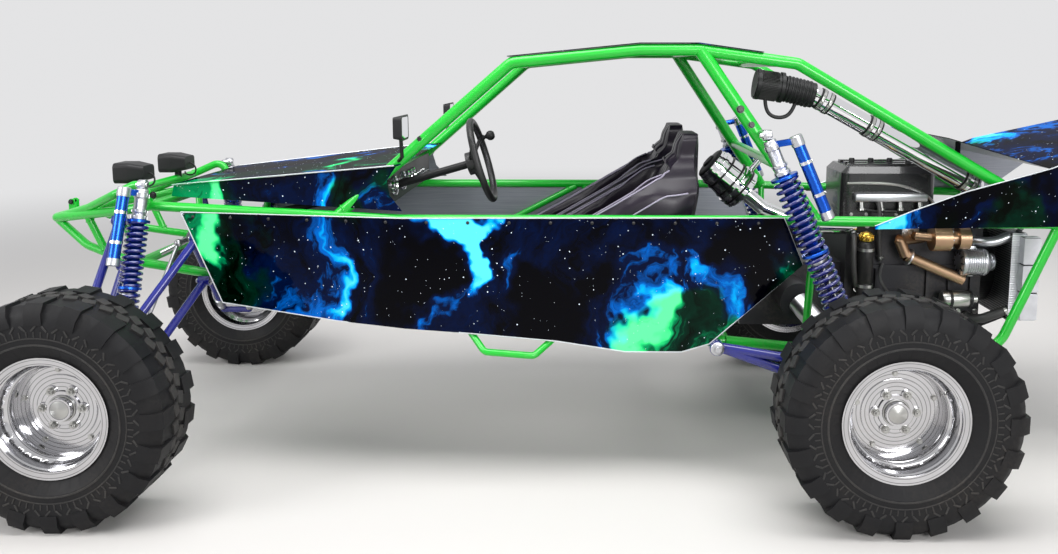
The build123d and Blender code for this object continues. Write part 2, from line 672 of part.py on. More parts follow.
# Power unit: transaxle, engine block and cover, intake, canister, exhaust and radiator
DRIVE_FLANGE = (850, 230, 640)
with BuildPart() as transaxle:
    with Locations((850, 0, CRADLE_TOP)):
        Box(420, 300, 271, align=(Align.CENTER, Align.CENTER, Align.MIN))
    boss(DRIVE_FLANGE, (0, 1, 0), 150, 170)
    mirror(about=Plane.XZ)
transaxle.part.label = "transaxle"

with BuildPart() as half_shafts:
    start = (DRIVE_FLANGE[0], -DRIVE_FLANGE[1] - 86, DRIVE_FLANGE[2])
    end = (REAR_AXLE_X, -CARRIER_Y + 40, AXLE_Z)
    bar(start, end, 34)
    bar(start, between(start, end, 0.25), 90)
    bar(between(start, end, 0.75), end, 90)
    mirror(about=Plane.XZ)
    for neighbour in frame_nodes + (transaxle, trailing_arms):
        add(neighbour.part, mode=Mode.SUBTRACT)
half_shafts.part.label = "half_shafts"

ENGINE = {"x": (1060 + FIT, 1620), "y": 210, "z": (CRADLE_TOP, 955)}
RIB = 14
RIB_X = (1100, 1190, 1400, 1490, 1580)
RIB_Z = 690
RIB_HEIGHT = 150
PULLEY_OUT = 18
PULLEYS = [
    # y, z, diameter
    (0, 600, 150),
    (-120, 730, 90),
    (110, 800, 120),
]
with BuildPart() as engine_block:
    with Locations(((ENGINE["x"][0] + ENGINE["x"][1]) / 2, 0, (ENGINE["z"][0] + ENGINE["z"][1]) / 2)):
        Box(ENGINE["x"][1] - ENGINE["x"][0], 2 * ENGINE["y"], ENGINE["z"][1] - ENGINE["z"][0])
    for y_side in (-1, 1):
        for x in RIB_X:
            with Locations((x, y_side * (ENGINE["y"] + RIB / 2), RIB_Z)):
                Box(RIB, RIB, RIB_HEIGHT)
        for z in (RIB_Z - RIB_HEIGHT / 2, RIB_Z + RIB_HEIGHT / 2):
            with Locations(((RIB_X[0] + RIB_X[-1]) / 2, y_side * (ENGINE["y"] + RIB / 2), z)):
                Box(RIB_X[-1] - RIB_X[0] + RIB, RIB, RIB)
    for y, z, diameter in PULLEYS:
        boss((ENGINE["x"][1], y, z), (1, 0, 0), diameter, 2 * PULLEY_OUT)
        boss((ENGINE["x"][1], y, z), (1, 0, 0), diameter - 24, 2 * PULLEY_OUT + 20)
    boss((1240, -ENGINE["y"] - 20, 620), (1, 0, 0), 96, 190)
    for neighbour in (rear_cradle, transaxle):
        add(neighbour.part, mode=Mode.SUBTRACT)
engine_block.part.label = "engine_block"

with BuildPart() as engine_cover:
    with Locations((1250, 0, ENGINE["z"][1] + FIT)):
        Box(390, 300, 214, align=(Align.CENTER, Align.CENTER, Align.MIN))
    fillet(engine_cover.edges().filter_by(Axis.Z), radius=40)
    chamfer(engine_cover.faces().sort_by(Axis.Z)[-1].edges(), length=26)
    with Locations((1250, 0, ENGINE["z"][1] + 214)):
        for y in (-80, 0, 80):
            with Locations((0, y, 0)):
                Box(300, 34, 20)
engine_cover.part.label = "engine_cover"

PIPE_TOP = (886, -300, 1469)
PIPE_END = (1530, -300, 1114)
INTAKE_PIPE = 80
with BuildPart() as intake_pipe:
    tube([(760, -300, 1500), PIPE_TOP, PIPE_END, (1560, -180, 980), (1560, -150, 956)], INTAKE_PIPE)
    for share in (0.06, 0.36, 0.96):
        boss(between(PIPE_TOP, PIPE_END, share), Vector(*PIPE_END) - Vector(*PIPE_TOP), INTAKE_PIPE + 8, 14)
    for share in (0.2, 0.42, 0.64, 0.86):
        boss(between((760, -300, 1500), PIPE_TOP, share), (126, 0, -31), INTAKE_PIPE + 16, 12)
    for neighbour in frame_nodes + (engine_block, engine_cover):
        add(neighbour.part, mode=Mode.SUBTRACT)
intake_pipe.part.label = "intake_pipe"

with BuildPart() as air_filter:
    bar((758, -300, 1500), (650, -300, 1516), 110)
    for share in (0.1, 0.9):
        boss(between((766, -300, 1499.5), (650, -300, 1516), share), (-116, 0, 16), 120, 14)
    for neighbour in (intake_pipe, cage_left, cage_cross):
        add(neighbour.part, mode=Mode.SUBTRACT)
air_filter.part.label = "air_filter"

with BuildPart() as canister:
    axis = Vector(0.76, 0, -0.65)
    centre = Vector(570, -200, 1130)
    with BuildSketch(Plane(origin=centre - axis * 82, z_dir=axis)):
        Circle(72)
    with BuildSketch(Plane(origin=centre + axis * 82, z_dir=axis)):
        Circle(88)
    loft()
    for along, diameter in ((-86, 138), (-60, 158), (40, 180), (84, 150)):
        boss(tuple(centre + axis * along), axis, diameter, 14)
    bar(tuple(centre + axis * 49), (HARNESS[0], -200, HARNESS[2]), 24)
    tube([tuple(centre + axis * 80), tuple(centre + axis * 190), (900, -190, 930), (1100, -190, 925)], 60)
    for neighbour in frame_nodes + (cage_cross, transaxle, engine_block):
        add(neighbour.part, mode=Mode.SUBTRACT)
canister.part.label = "canister"

EXHAUST_PIPE = 45
HEADER_X = (1320, 1500)
TURBO = (1410, -300, 900)
TURBO_HOUSING = 104
with BuildPart() as exhaust:
    tube([(1376, -200, 884), (1262, -262, 884), (1290, -262, 820), (1526, -262, 720)], EXHAUST_PIPE)
    for x in HEADER_X:
        tube([(x, -200, 905), (x, -275, 905), TURBO], EXHAUST_PIPE - 10)
    boss(TURBO, (1, 0, 0), TURBO_HOUSING, 70)
    boss((TURBO[0] + 60, TURBO[1], TURBO[2]), (1, 0, 0), TURBO_HOUSING - 50, 60)
    boss((TURBO[0] + 90, TURBO[1], TURBO[2]), (1, 0, 0), TURBO_HOUSING - 14, 44)
    for neighbour in frame_nodes + (engine_block,):
        add(neighbour.part, mode=Mode.SUBTRACT)
exhaust.part.label = "exhaust"

RADIATOR = {"x": (1700, 1758), "y": 300, "z": (560, 920)}
FAN_RADIUS = 153
FAN_BLADES = 7
TANK_Z = (626, 740, 854)
with BuildPart() as radiator:
    with Locations(((RADIATOR["x"][0] + RADIATOR["x"][1]) / 2, 0, (RADIATOR["z"][0] + RADIATOR["z"][1]) / 2)):
        Box(RADIATOR["x"][1] - RADIATOR["x"][0], 2 * RADIATOR["y"], RADIATOR["z"][1] - RADIATOR["z"][0])
    fan = Plane(origin=(RADIATOR["x"][0], 0, 740), x_dir=(0, 1, 0), z_dir=(-1, 0, 0))
    with BuildSketch(fan) as shroud:
        Circle(FAN_RADIUS + 12)
        Circle(FAN_RADIUS, mode=Mode.SUBTRACT)
    extrude(shroud.sketch, amount=60)
    with BuildSketch(fan) as blades:
        Circle(45)
        with PolarLocations(FAN_RADIUS / 2 + 8, FAN_BLADES):
            Rectangle(FAN_RADIUS - 20, 30)
    extrude(blades.sketch, amount=24)
    for side in (-1, 1):
        for z in TANK_Z:
            with Locations((RADIATOR["x"][1] + 6, side * (RADIATOR["y"] + 20), z)):
                Box(66, 40, 104)
        with Locations((RADIATOR["x"][1] + 6, side * (RADIATOR["y"] + 18), sum(RADIATOR["z"]) / 2)):
            Box(56, 36, 340)
    for y in (-250, 250):
        bar((RADIATOR["x"][0] + 29, y, 900), (BELT_REAR_X, y, BELT_REAR_Z), 20)
        bar((RADIATOR["x"][0] + 29, y, 580), (CRADLE_CROSS_X[-1], y, CRADLE_Z), 20)
    for neighbour in frame_nodes + (engine_block,):
        add(neighbour.part, mode=Mode.SUBTRACT)
radiator.part.label = "radiator"

# Lamps and mirrors
LAMP_Y = 200
LAMP_Z = 1150
LAMP_WIDTH = 130
LAMP_HEIGHT = 84
with BuildPart() as headlamps:
    lamp_back = Plane(origin=(LAMP_BAR_X + 57, -LAMP_Y, LAMP_Z), x_dir=(0, -1, 0), z_dir=(-1, 0, 0))
    with BuildSketch(lamp_back) as housing:
        RectangleRounded(LAMP_WIDTH - 30, LAMP_HEIGHT - 24, 16)
    with BuildSketch(lamp_back.offset(60)) as housing:
        RectangleRounded(LAMP_WIDTH, LAMP_HEIGHT, 20)
    loft()
    with BuildSketch(lamp_back.offset(60)) as housing:
        RectangleRounded(LAMP_WIDTH, LAMP_HEIGHT, 20)
    extrude(housing.sketch, amount=58)
    with BuildSketch(lamp_back.offset(106)) as glass:
        RectangleRounded(LAMP_WIDTH - 16, LAMP_HEIGHT - 16, 14)
    extrude(glass.sketch, amount=20, mode=Mode.SUBTRACT)
    bar((LAMP_BAR_X, -LAMP_Y, LAMP_BAR_Z), (LAMP_BAR_X, -LAMP_Y, 1120), 30)
    mirror(about=Plane.XZ)
    add(nose_frame.part, mode=Mode.SUBTRACT)
headlamps.part.label = "headlamps"

with BuildPart() as mirrors:
    mirror_face = Plane(origin=(-675, -600, 1362), x_dir=(0, 1, 0), z_dir=(-1, 0, 0))
    with BuildSketch(mirror_face) as shell:
        RectangleRounded(130, 92, 18)
    extrude(shell.sketch, amount=34, taper=12)
    with BuildSketch(mirror_face) as glass:
        RectangleRounded(118, 80, 14)
    extrude(glass.sketch, amount=4, mode=Mode.SUBTRACT)
    tube([(-694, -590, 1320), (-697, -562, 1250), (-722, -505, 1228)], 14)
    mirror(about=Plane.XZ)
    for neighbour in (cage_left, cage_right, hood, nose_side_panels):
        add(neighbour.part, mode=Mode.SUBTRACT)
mirrors.part.label = "mirrors"

# Front knuckles: post between the ball joints, spindle, brake disc and steering arm
CUP_GAP = 5
DISC_RADIUS = 125
HUB_INNER_Y = WHEEL_Y - 60
with BuildPart() as knuckle_left:
    post_x, post_y = FRONT_AXLE_X, -KINGPIN_Y
    low = LOWER_BALL_Z + CUP_HEIGHT / 2 + CUP_GAP
    high = UPPER_BALL_Z - CUP_HEIGHT / 2 - CUP_GAP
    bar((post_x, post_y, LOWER_BALL_Z - CUP_HEIGHT / 2), (post_x, post_y, UPPER_BALL_Z + CUP_HEIGHT / 2), BALL_PIN)
    bar((post_x, post_y, low), (post_x, post_y, high), 34)
    bar((post_x, post_y, low + 27), (post_x, post_y, high - 20), 44)
    bar((post_x, post_y, AXLE_Z), (post_x, -HUB_INNER_Y, AXLE_Z), 62)
    bar((post_x, -HUB_INNER_Y, AXLE_Z), (post_x, -WHEEL_Y - 6, AXLE_Z), 2 * HUB_BORE_RADIUS - RUNNING)
    boss((post_x, -800, AXLE_Z), (0, 1, 0), 2 * DISC_RADIUS, 14)
    with Locations((post_x, -800, AXLE_Z + DISC_RADIUS - 25)):
        Box(110, 50, 50)
    bar((post_x, post_y, STEER_ARM_Z), (post_x + STEER_ARM, post_y, STEER_ARM_Z), 20)
knuckle_left.part.label = "knuckle_left"

with BuildPart() as knuckle_right:
    add(mirror(knuckle_left.part, about=Plane.XZ, mode=Mode.PRIVATE))
knuckle_right.part.label = "knuckle_right"


# Wheels, made lying flat with the outer face up: dished rim with a stepped barrel and a hub flange, and a tyre
HUB_FLANGE = 9
HUB_CAP = 34
LOBE_RADIUS = 19


def rim_section():
    """Closed section of the rim's barrel: radius, then distance out from the wheel's middle plane."""
    half = RIM_WIDTH / 2
    outer = [
        (RIM_LIP_RADIUS, half),
        (RIM_LIP_RADIUS, half - 6),
        (BEAD_RADIUS, half - 10),
        (BEAD_RADIUS - 3, half - 48),
        (162, half - 66),
        (162, -half + 66),
        (BEAD_RADIUS - 3, -half + 48),
        (BEAD_RADIUS, -half + 10),
        (RIM_LIP_RADIUS, -half + 6),
        (RIM_LIP_RADIUS, -half),
    ]
    inner = [
        (BEAD_RADIUS - RIM_WALL, -half + 4),
        (BEAD_RADIUS - 3 - RIM_WALL, -half + 51),
        (162 - RIM_WALL, -half + 69),
        (162 - RIM_WALL, half - 88),
        (168 - RIM_WALL, half - 69),
        (BEAD_RADIUS - 14, half - 51),
        (BEAD_RADIUS - 10, half - 20),
        (BEAD_RADIUS - RIM_WALL, half - 16),
        (BEAD_RADIUS - RIM_WALL, half - 4),
    ]
    return outer + inner


with BuildPart() as rim_form:
    with BuildSketch(Plane.XZ) as section:
        Polygon(*rim_section(), align=None)
    revolve(section.sketch, axis=Axis.Z)
    with BuildSketch(Plane.XY.offset(-DISC_THICKNESS / 2)) as disc:
        Circle(160)
    extrude(disc.sketch, amount=DISC_THICKNESS)
    with BuildSketch(Plane.XY) as ring:
        Circle(118)
    extrude(ring.sketch, amount=DISC_THICKNESS / 2 + 3)
    with BuildSketch(Plane.XY) as flange:
        Circle(STUD_CIRCLE / 2 - 8)
        with PolarLocations(STUD_CIRCLE / 2, STUD_COUNT):
            Circle(LOBE_RADIUS)
    extrude(flange.sketch, amount=DISC_THICKNESS / 2 + HUB_FLANGE)
    with BuildSketch(Plane.XY.offset(-DISC_THICKNESS)) as holes:
        Circle(HUB_BORE_RADIUS)
        with PolarLocations(STUD_CIRCLE / 2, STUD_COUNT):
            Circle(STUD_HOLE_RADIUS)
    extrude(holes.sketch, amount=4 * DISC_THICKNESS, mode=Mode.SUBTRACT)
    with BuildSketch(Plane.XY.offset(DISC_THICKNESS / 2 + HUB_FLANGE - 4)) as cap:
        Circle(HUB_BORE_RADIUS + 6)
    extrude(cap.sketch, amount=HUB_CAP - HUB_FLANGE, taper=8)

# Tyre: flat-faced carcass of rings, with lugs round both shoulders that stand on the ground
TYRE_SIDES = 40
LUG_COUNT = 20
LUG_DEPTH = 8
LUG_LENGTH = 58
CROWN_RADIUS = TYRE_RADIUS - LUG_DEPTH
TYRE_HALF = TYRE_WIDTH / 2
TYRE_RINGS = [
    # distance out from the wheel's middle plane, radius
    (TYRE_HALF - 3, 334),
    (TYRE_HALF - 12, CROWN_RADIUS - 26),
    (TYRE_HALF - 36, CROWN_RADIUS),
]
BEAD_RINGS = [
    # distance out, radius inside the flats
    (RIM_WIDTH / 2 - 10.5, BEAD_RADIUS + FIT),
    (RIM_WIDTH / 2 - 6.5, RIM_LIP_RADIUS + 3),
    (TYRE_HALF, 264),
]
LUG_SECTION = [
    # radius, distance out
    (332, TYRE_HALF),
    (TYRE_RADIUS - 34, TYRE_HALF),
    (TYRE_RADIUS, TYRE_HALF - 22),
    (TYRE_RADIUS, 44),
    (CROWN_RADIUS - 12, 44),
    (332, TYRE_HALF - 16),
]
with BuildPart() as lug:
    with BuildSketch(Plane.YZ) as section:
        Polygon(*LUG_SECTION, align=None)
    extrude(section.sketch, amount=LUG_LENGTH / 2, both=True)

with BuildPart() as tyre_form:
    for out, radius in TYRE_RINGS + [(-out, radius) for out, radius in TYRE_RINGS[::-1]]:
        with BuildSketch(Plane.XY.offset(out)):
            RegularPolygon(radius, TYRE_SIDES)
    loft(ruled=True)
    with PolarLocations(0, LUG_COUNT):
        add(lug.part)
    with PolarLocations(0, LUG_COUNT, start_angle=180 / LUG_COUNT):
        add(mirror(lug.part, about=Plane.XY, mode=Mode.PRIVATE))
    for face in (1, -1):
        for out, radius in BEAD_RINGS:
            with BuildSketch(Plane.XY.offset(face * out)):
                RegularPolygon(radius, TYRE_SIDES, major_radius=False)
        loft(ruled=True, mode=Mode.SUBTRACT)
    with BuildSketch(Plane.XY) as bore:
        RegularPolygon(BEAD_RADIUS + FIT, TYRE_SIDES, major_radius=False)
    extrude(bore.sketch, amount=RIM_WIDTH / 2, both=True, mode=Mode.SUBTRACT)

wheels = {}
for name, x, y_side in [
    ("front_left", FRONT_AXLE_X, -1),
    ("front_right", FRONT_AXLE_X, 1),
    ("rear_left", REAR_AXLE_X, -1),
    ("rear_right", REAR_AXLE_X, 1),
]:
    wheel_plane = Plane(origin=(x, y_side * WHEEL_Y, AXLE_Z), x_dir=(1, 0, 0), z_dir=(0, y_side, 0))
    for kind, form in (("rim_", rim_form), ("tyre_", tyre_form)):
        with BuildPart() as wheel_piece:
            add(form.part.moved(wheel_plane.location))
        wheel_piece.part.label = kind + name
        wheels[kind + name] = wheel_piece

pieces = [
    floor_pan, lower_frame, belt_frame, nose_frame, rear_cradle, cage_left, cage_right, cage_cross,
    side_panel_left, side_panel_right, hood, nose_side_panels, roof_panel, tail_side_panels, tail_deck, dash,
    seat_left, seat_right, steering_column, steering_wheel, rack_housing, steering_rack,
    front_upper_arms, front_lower_arms, front_coilovers, trailing_arms, rear_coilovers, half_shafts,
    transaxle, engine_block, engine_cover, intake_pipe, air_filter, canister, exhaust, radiator,
    headlamps, mirrors, knuckle_left, knuckle_right, *wheels.values(),
]
for piece in pieces:
    export_step(piece.part, f"parts/{piece.part.label}.step")
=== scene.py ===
"""Looks of a two-seat sand rail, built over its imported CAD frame.

Metres, +Z up, front towards -X, driver at -Y.
"""
import json
import math

import bmesh
import bpy
from mathutils import Matrix, Vector
from mathutils.bvhtree import BVHTree


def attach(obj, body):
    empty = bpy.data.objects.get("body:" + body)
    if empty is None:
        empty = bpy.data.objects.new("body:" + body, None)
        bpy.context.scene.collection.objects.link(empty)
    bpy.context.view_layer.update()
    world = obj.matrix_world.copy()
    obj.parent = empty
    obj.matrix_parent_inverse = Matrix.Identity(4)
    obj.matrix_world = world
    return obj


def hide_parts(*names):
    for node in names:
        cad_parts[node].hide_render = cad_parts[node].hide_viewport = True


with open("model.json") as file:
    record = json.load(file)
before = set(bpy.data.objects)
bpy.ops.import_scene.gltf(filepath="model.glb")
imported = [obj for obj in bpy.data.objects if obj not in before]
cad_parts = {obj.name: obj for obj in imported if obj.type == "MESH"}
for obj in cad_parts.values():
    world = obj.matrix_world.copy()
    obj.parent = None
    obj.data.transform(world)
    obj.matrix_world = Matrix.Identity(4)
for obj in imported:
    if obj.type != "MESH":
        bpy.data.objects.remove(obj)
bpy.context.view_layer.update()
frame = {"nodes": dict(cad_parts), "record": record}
nodes = frame["nodes"]

# Studio. A plain pale floor that runs out into a pale surround, one long soft box overhead, and three smaller
# ones that give the tubes and the chrome their bright lines.
FLOOR_REACH = 60
FLOOR_TONE, PALE, SKY_TONE = (0.62, 0.60, 0.58, 1), (0.90, 0.90, 0.91, 1), (0.92, 0.95, 1.0, 1)
PALE_GLOW, SKY_GLOW = 0.86, 0.42
FADE_FROM, FADE_TO = 3.5, 11.0
LAMP_AIM = Vector((0.0, 0.0, 0.7))
LAMPS = [
    # name, place, size along x, size across, watts, shown in gloss
    ("overhead_box", (0.0, -1.2, 4.6), 5.5, 2.2, 260, True),
    ("front_box", (-5.2, -3.4, 3.0), 2.2, 2.2, 150, True),
    ("side_box", (2.6, -6.0, 2.6), 3.2, 1.4, 190, True),
    ("back_box", (1.5, 5.0, 3.4), 4.0, 1.6, 150, False),
]


def fill(node, numbered=None, **named):
    """Fills a node's inputs with values or links; an underscore in a name stands for a space."""
    sockets = {name.replace("_", " "): value for name, value in named.items()}
    for socket, value in {**(numbered or {}), **sockets}.items():
        if isinstance(value, bpy.types.NodeSocket):
            node.id_data.links.new(value, node.inputs[socket])
        else:
            node.inputs[socket].default_value = value


def shader(tree, kind, numbered=None, out=0, **named):
    """Adds a node and returns one of its outputs. Capitalised names are inputs, others are settings."""
    made = tree.nodes.new(kind if "Node" in kind else "ShaderNode" + kind)
    for name in [name for name in named if name[0].islower()]:
        setattr(made, name, named.pop(name))
    fill(made, numbered, **named)
    return made.outputs[out]


def worked(tree, operation, *values, **settings):
    """One step of arithmetic on values or links."""
    return shader(tree, "Math", dict(enumerate(values)), operation=operation, **settings)


def ranged(tree, value, low=0.0, high=1.0, to_low=0.0, to_high=1.0, **settings):
    """Maps a value from one range to another."""
    return shader(tree, "MapRange", Value=value, From_Min=low, From_Max=high, To_Min=to_low, To_Max=to_high,
                  **settings)


def new_material(name, **sockets):
    """A material with its surface shader, whose plain sockets are set by name."""
    material = bpy.data.materials.new(name)
    material.use_nodes = True
    surface = material.node_tree.nodes["Principled BSDF"]
    fill(surface, **sockets)
    return material, material.node_tree, surface


def seen_straight(tree):
    """Mask of the rays that come from the camera, off gloss or through glass."""
    path = shader(tree, "LightPath").node.outputs
    mask = path["Is Camera Ray"]
    for ray in ("Is Glossy Ray", "Is Transmission Ray"):
        mask = worked(tree, "MAXIMUM", mask, path[ray])
    return mask


def as_data(mesh, name):
    """Turns a bmesh into mesh data and frees it."""
    data = bpy.data.meshes.new(name)
    mesh.to_mesh(data)
    mesh.free()
    return data


def placed(name, data):
    """An object of this data, linked to the scene."""
    made = bpy.data.objects.new(name, data)
    bpy.context.scene.collection.objects.link(made)
    return made


sky = bpy.data.worlds.new("surround")
sky.use_nodes = True
bpy.context.scene.world = sky
tree = sky.node_tree
tree.nodes.clear()
light = shader(tree, "Background", Color=SKY_TONE, Strength=SKY_GLOW)
seen = shader(tree, "Background", Color=PALE, Strength=PALE_GLOW)
mix = shader(tree, "MixShader", {0: seen_straight(tree), 1: light, 2: seen})
fill(tree.nodes.new("ShaderNodeOutputWorld"), Surface=mix)

floor_mesh = bmesh.new()
bmesh.ops.create_grid(floor_mesh, x_segments=1, y_segments=1, size=FLOOR_REACH)
floor = placed("floor", as_data(floor_mesh, "floor"))
material, tree, surface = new_material("swept_floor", Base_Color=FLOOR_TONE, Roughness=0.75)
floor.data.materials.append(material)
away = shader(tree, "VectorMath", {0: shader(tree, "TexCoord", out="Object")}, "Value", operation="LENGTH")
fade = ranged(tree, away, FADE_FROM, FADE_TO, interpolation_type="SMOOTHSTEP")
far = worked(tree, "MULTIPLY", fade, seen_straight(tree))
glow = shader(tree, "Emission", Color=PALE, Strength=PALE_GLOW)
mix = shader(tree, "MixShader", {0: far, 1: surface.outputs[0], 2: glow})
fill(tree.nodes["Material Output"], Surface=mix)

for name, at, length, width, watts, shown in LAMPS:
    lamp = bpy.data.lights.new(name, "AREA")
    lamp.shape, lamp.size, lamp.size_y, lamp.energy = "RECTANGLE", length, width, watts
    lamp_object = placed(name, lamp)
    lamp_object.location = at
    lamp_object.visible_glossy = shown
    lamp_object.rotation_euler = (LAMP_AIM - Vector(at)).to_track_quat("-Z", "Y").to_euler()

bpy.context.scene.view_settings.view_transform = "Standard"

# Camera. It stands just under the roof's height, four metres off the middle, and looks slightly down.
CAMERA_AT = (-0.021, -3.952, 1.579)
LOOK_DOWN, LOOK_FORWARD = math.radians(7.74), math.radians(0.79)
IMAGE_WIDTH, FOCAL_PIXELS, SENSOR, SHIFT = 1058, 918.3, 36.0, (-0.04, -0.08)
camera_data = bpy.data.cameras.new("camera")
camera_data.sensor_width = SENSOR
camera_data.lens = FOCAL_PIXELS / IMAGE_WIDTH * SENSOR
camera_data.shift_x, camera_data.shift_y = SHIFT
camera = placed("camera", camera_data)
camera.location = CAMERA_AT
camera.rotation_euler = (math.radians(90) - LOOK_DOWN, 0, LOOK_FORWARD)
bpy.context.scene.camera = camera

# Frame tubes. Round steel tube, cut to fit, welded at each joint and powder coated in bright green, with a
# thin film of dust low down and soft blotches in the coat.
FRAME_NODES = ["lower_frame", "belt_frame", "nose_frame", "rear_cradle", "cage_left", "cage_right",
               "cage_cross"]
DUST, DUST_ROUGHNESS, DUST_LOW = (0.34, 0.27, 0.20, 1), 0.85, 0.05
MERGE, SMOOTH_ANGLE = 0.00002, math.radians(34)


def noise(tree, place, scale, detail, out="Fac", **named):
    """Cloudy noise over a place."""
    return shader(tree, "TexNoise", out=out, Vector=place, Scale=scale, Detail=detail, **named)


def blended(tree, part, first, second):
    """Mixes two colours by a mask."""
    return shader(tree, "Mix", {0: part, 6: first, 7: second}, 2, data_type="RGBA")


def new_group(name, takes, gives, kind="ShaderNodeTree"):
    """An empty node group with named sockets; returns it with its input and output nodes."""
    group = bpy.data.node_groups.new(name, kind)
    for socket, socket_kind, default in takes:
        made = group.interface.new_socket(socket, in_out="INPUT", socket_type="NodeSocket" + socket_kind)
        if default is not None:
            made.default_value = default
    for socket, socket_kind in gives:
        group.interface.new_socket(socket, in_out="OUTPUT", socket_type="NodeSocket" + socket_kind)
    return group, group.nodes.new("NodeGroupInput"), group.nodes.new("NodeGroupOutput")


# Road dust settles where a surface lies low, in soft blotches.
dust_group, given, result = new_group(
    "road_dust",
    [("Color", "Color", (0.5, 0.5, 0.5, 1)), ("Roughness", "Float", 0.3), ("Place", "Vector", None),
     ("Amount", "Float", 0.4), ("Top", "Float", 1.2)],
    [("Color", "Color"), ("Roughness", "Float")],
)
place, given = given.outputs["Place"], given.outputs
low = ranged(dust_group, shader(dust_group, "SeparateXYZ", {0: place}, "Z"), given["Top"], DUST_LOW)
patch = ranged(dust_group, noise(dust_group, place, 5.0, 6.0), 0.42, 0.72)
speck = ranged(dust_group, noise(dust_group, place, 90.0, 3.0), 0.35, 0.7)
film = worked(dust_group, "MULTIPLY", patch, speck)
film = worked(dust_group, "MULTIPLY", film, low)
film = worked(dust_group, "MULTIPLY", film, given["Amount"], use_clamp=True)
dull = shader(dust_group, "Mix", {0: film, 2: given["Roughness"], 3: DUST_ROUGHNESS})
fill(result, Color=blended(dust_group, film, given["Color"], DUST), Roughness=dull)

# Orange peel is the faint ripple of sprayed or baked coats, and also serves as the skin of castings.
peel_group, given, result = new_group(
    "orange_peel",
    [("Place", "Vector", None), ("Scale", "Float", 300.0), ("Depth", "Float", 0.1)],
    [("Height", "Float")],
)
ripple = noise(peel_group, given.outputs["Place"], given.outputs["Scale"], 2.0)
fill(result, Height=worked(peel_group, "MULTIPLY", ripple, given.outputs["Depth"]))


def dusty_surface(surface, tone, sheen, place, dust, bump):
    """Lays road dust over a colour and a roughness, and feeds them and the bump to the surface."""
    dusty = shader(surface.id_data, "Group", node_tree=dust_group, Color=tone, Roughness=sheen, Place=place,
                   Amount=dust).node.outputs
    fill(surface, Base_Color=dusty["Color"], Roughness=dusty["Roughness"], Normal=bump)


def coated(name, bright, deep, roughness=0.3, metallic=0.0, dust=0.35, peel=(300.0, 0.1), blotch=6.0,
           **sockets):
    """A coated, moulded or cast surface: two close colours in soft blotches, fine skin and low dust."""
    material, tree, surface = new_material(name, Metallic=metallic, **sockets)
    place = shader(tree, "TexCoord", out="Object")
    cloud = noise(tree, place, blotch, 5.0)
    tone = blended(tree, cloud, (*deep, 1), (*bright, 1))
    sheen = ranged(tree, cloud, to_low=roughness * 0.8, to_high=roughness * 1.25)
    skin = shader(tree, "Group", node_tree=peel_group, Place=place, Scale=peel[0], Depth=peel[1])
    bump = shader(tree, "Bump", Height=skin, Distance=0.001, Strength=0.5)
    dusty_surface(surface, tone, sheen, place, dust, bump)
    return material


frame_paint = coated("frame_powder_coat", (0.004, 0.54, 0.03), (0.003, 0.36, 0.018), dust=0.22, blotch=3.0,
                     Coat_Weight=0.3, Coat_Roughness=0.10)

# CAD meshes come as loose triangles, so each one is closed up and smoothed up to a set angle as it is shown.
smooth_joins, given, result = new_group("smooth_joins", [("Geometry", "Geometry", None)],
                                        [("Geometry", "Geometry")], "GeometryNodeTree")
merged = shader(smooth_joins, "GeometryNodeMergeByDistance", Geometry=given.outputs[0], Distance=MERGE)
round_faces = shader(smooth_joins, "GeometryNodeSetShadeSmooth", {0: merged, "Shade Smooth": True},
                     domain="FACE")
corner = shader(smooth_joins, "GeometryNodeInputMeshEdgeAngle", out="Unsigned Angle")
gentle = shader(smooth_joins, "FunctionNodeCompare", {0: corner, 1: SMOOTH_ANGLE}, operation="LESS_THAN")
fill(result, {0: shader(smooth_joins, "GeometryNodeSetShadeSmooth", {0: round_faces, "Shade Smooth": gentle},
                        domain="EDGE")})
finished = set()


def finish_node(name, material):
    """Gives a CAD node its finish and its smooth joins."""
    finished.add(name)
    node = nodes[name]
    node.data.materials.clear()
    node.data.materials.append(material)
    node.modifiers.new("smooth_joins", "NODES").node_group = smooth_joins


for name in FRAME_NODES:
    finish_node(name, frame_paint)

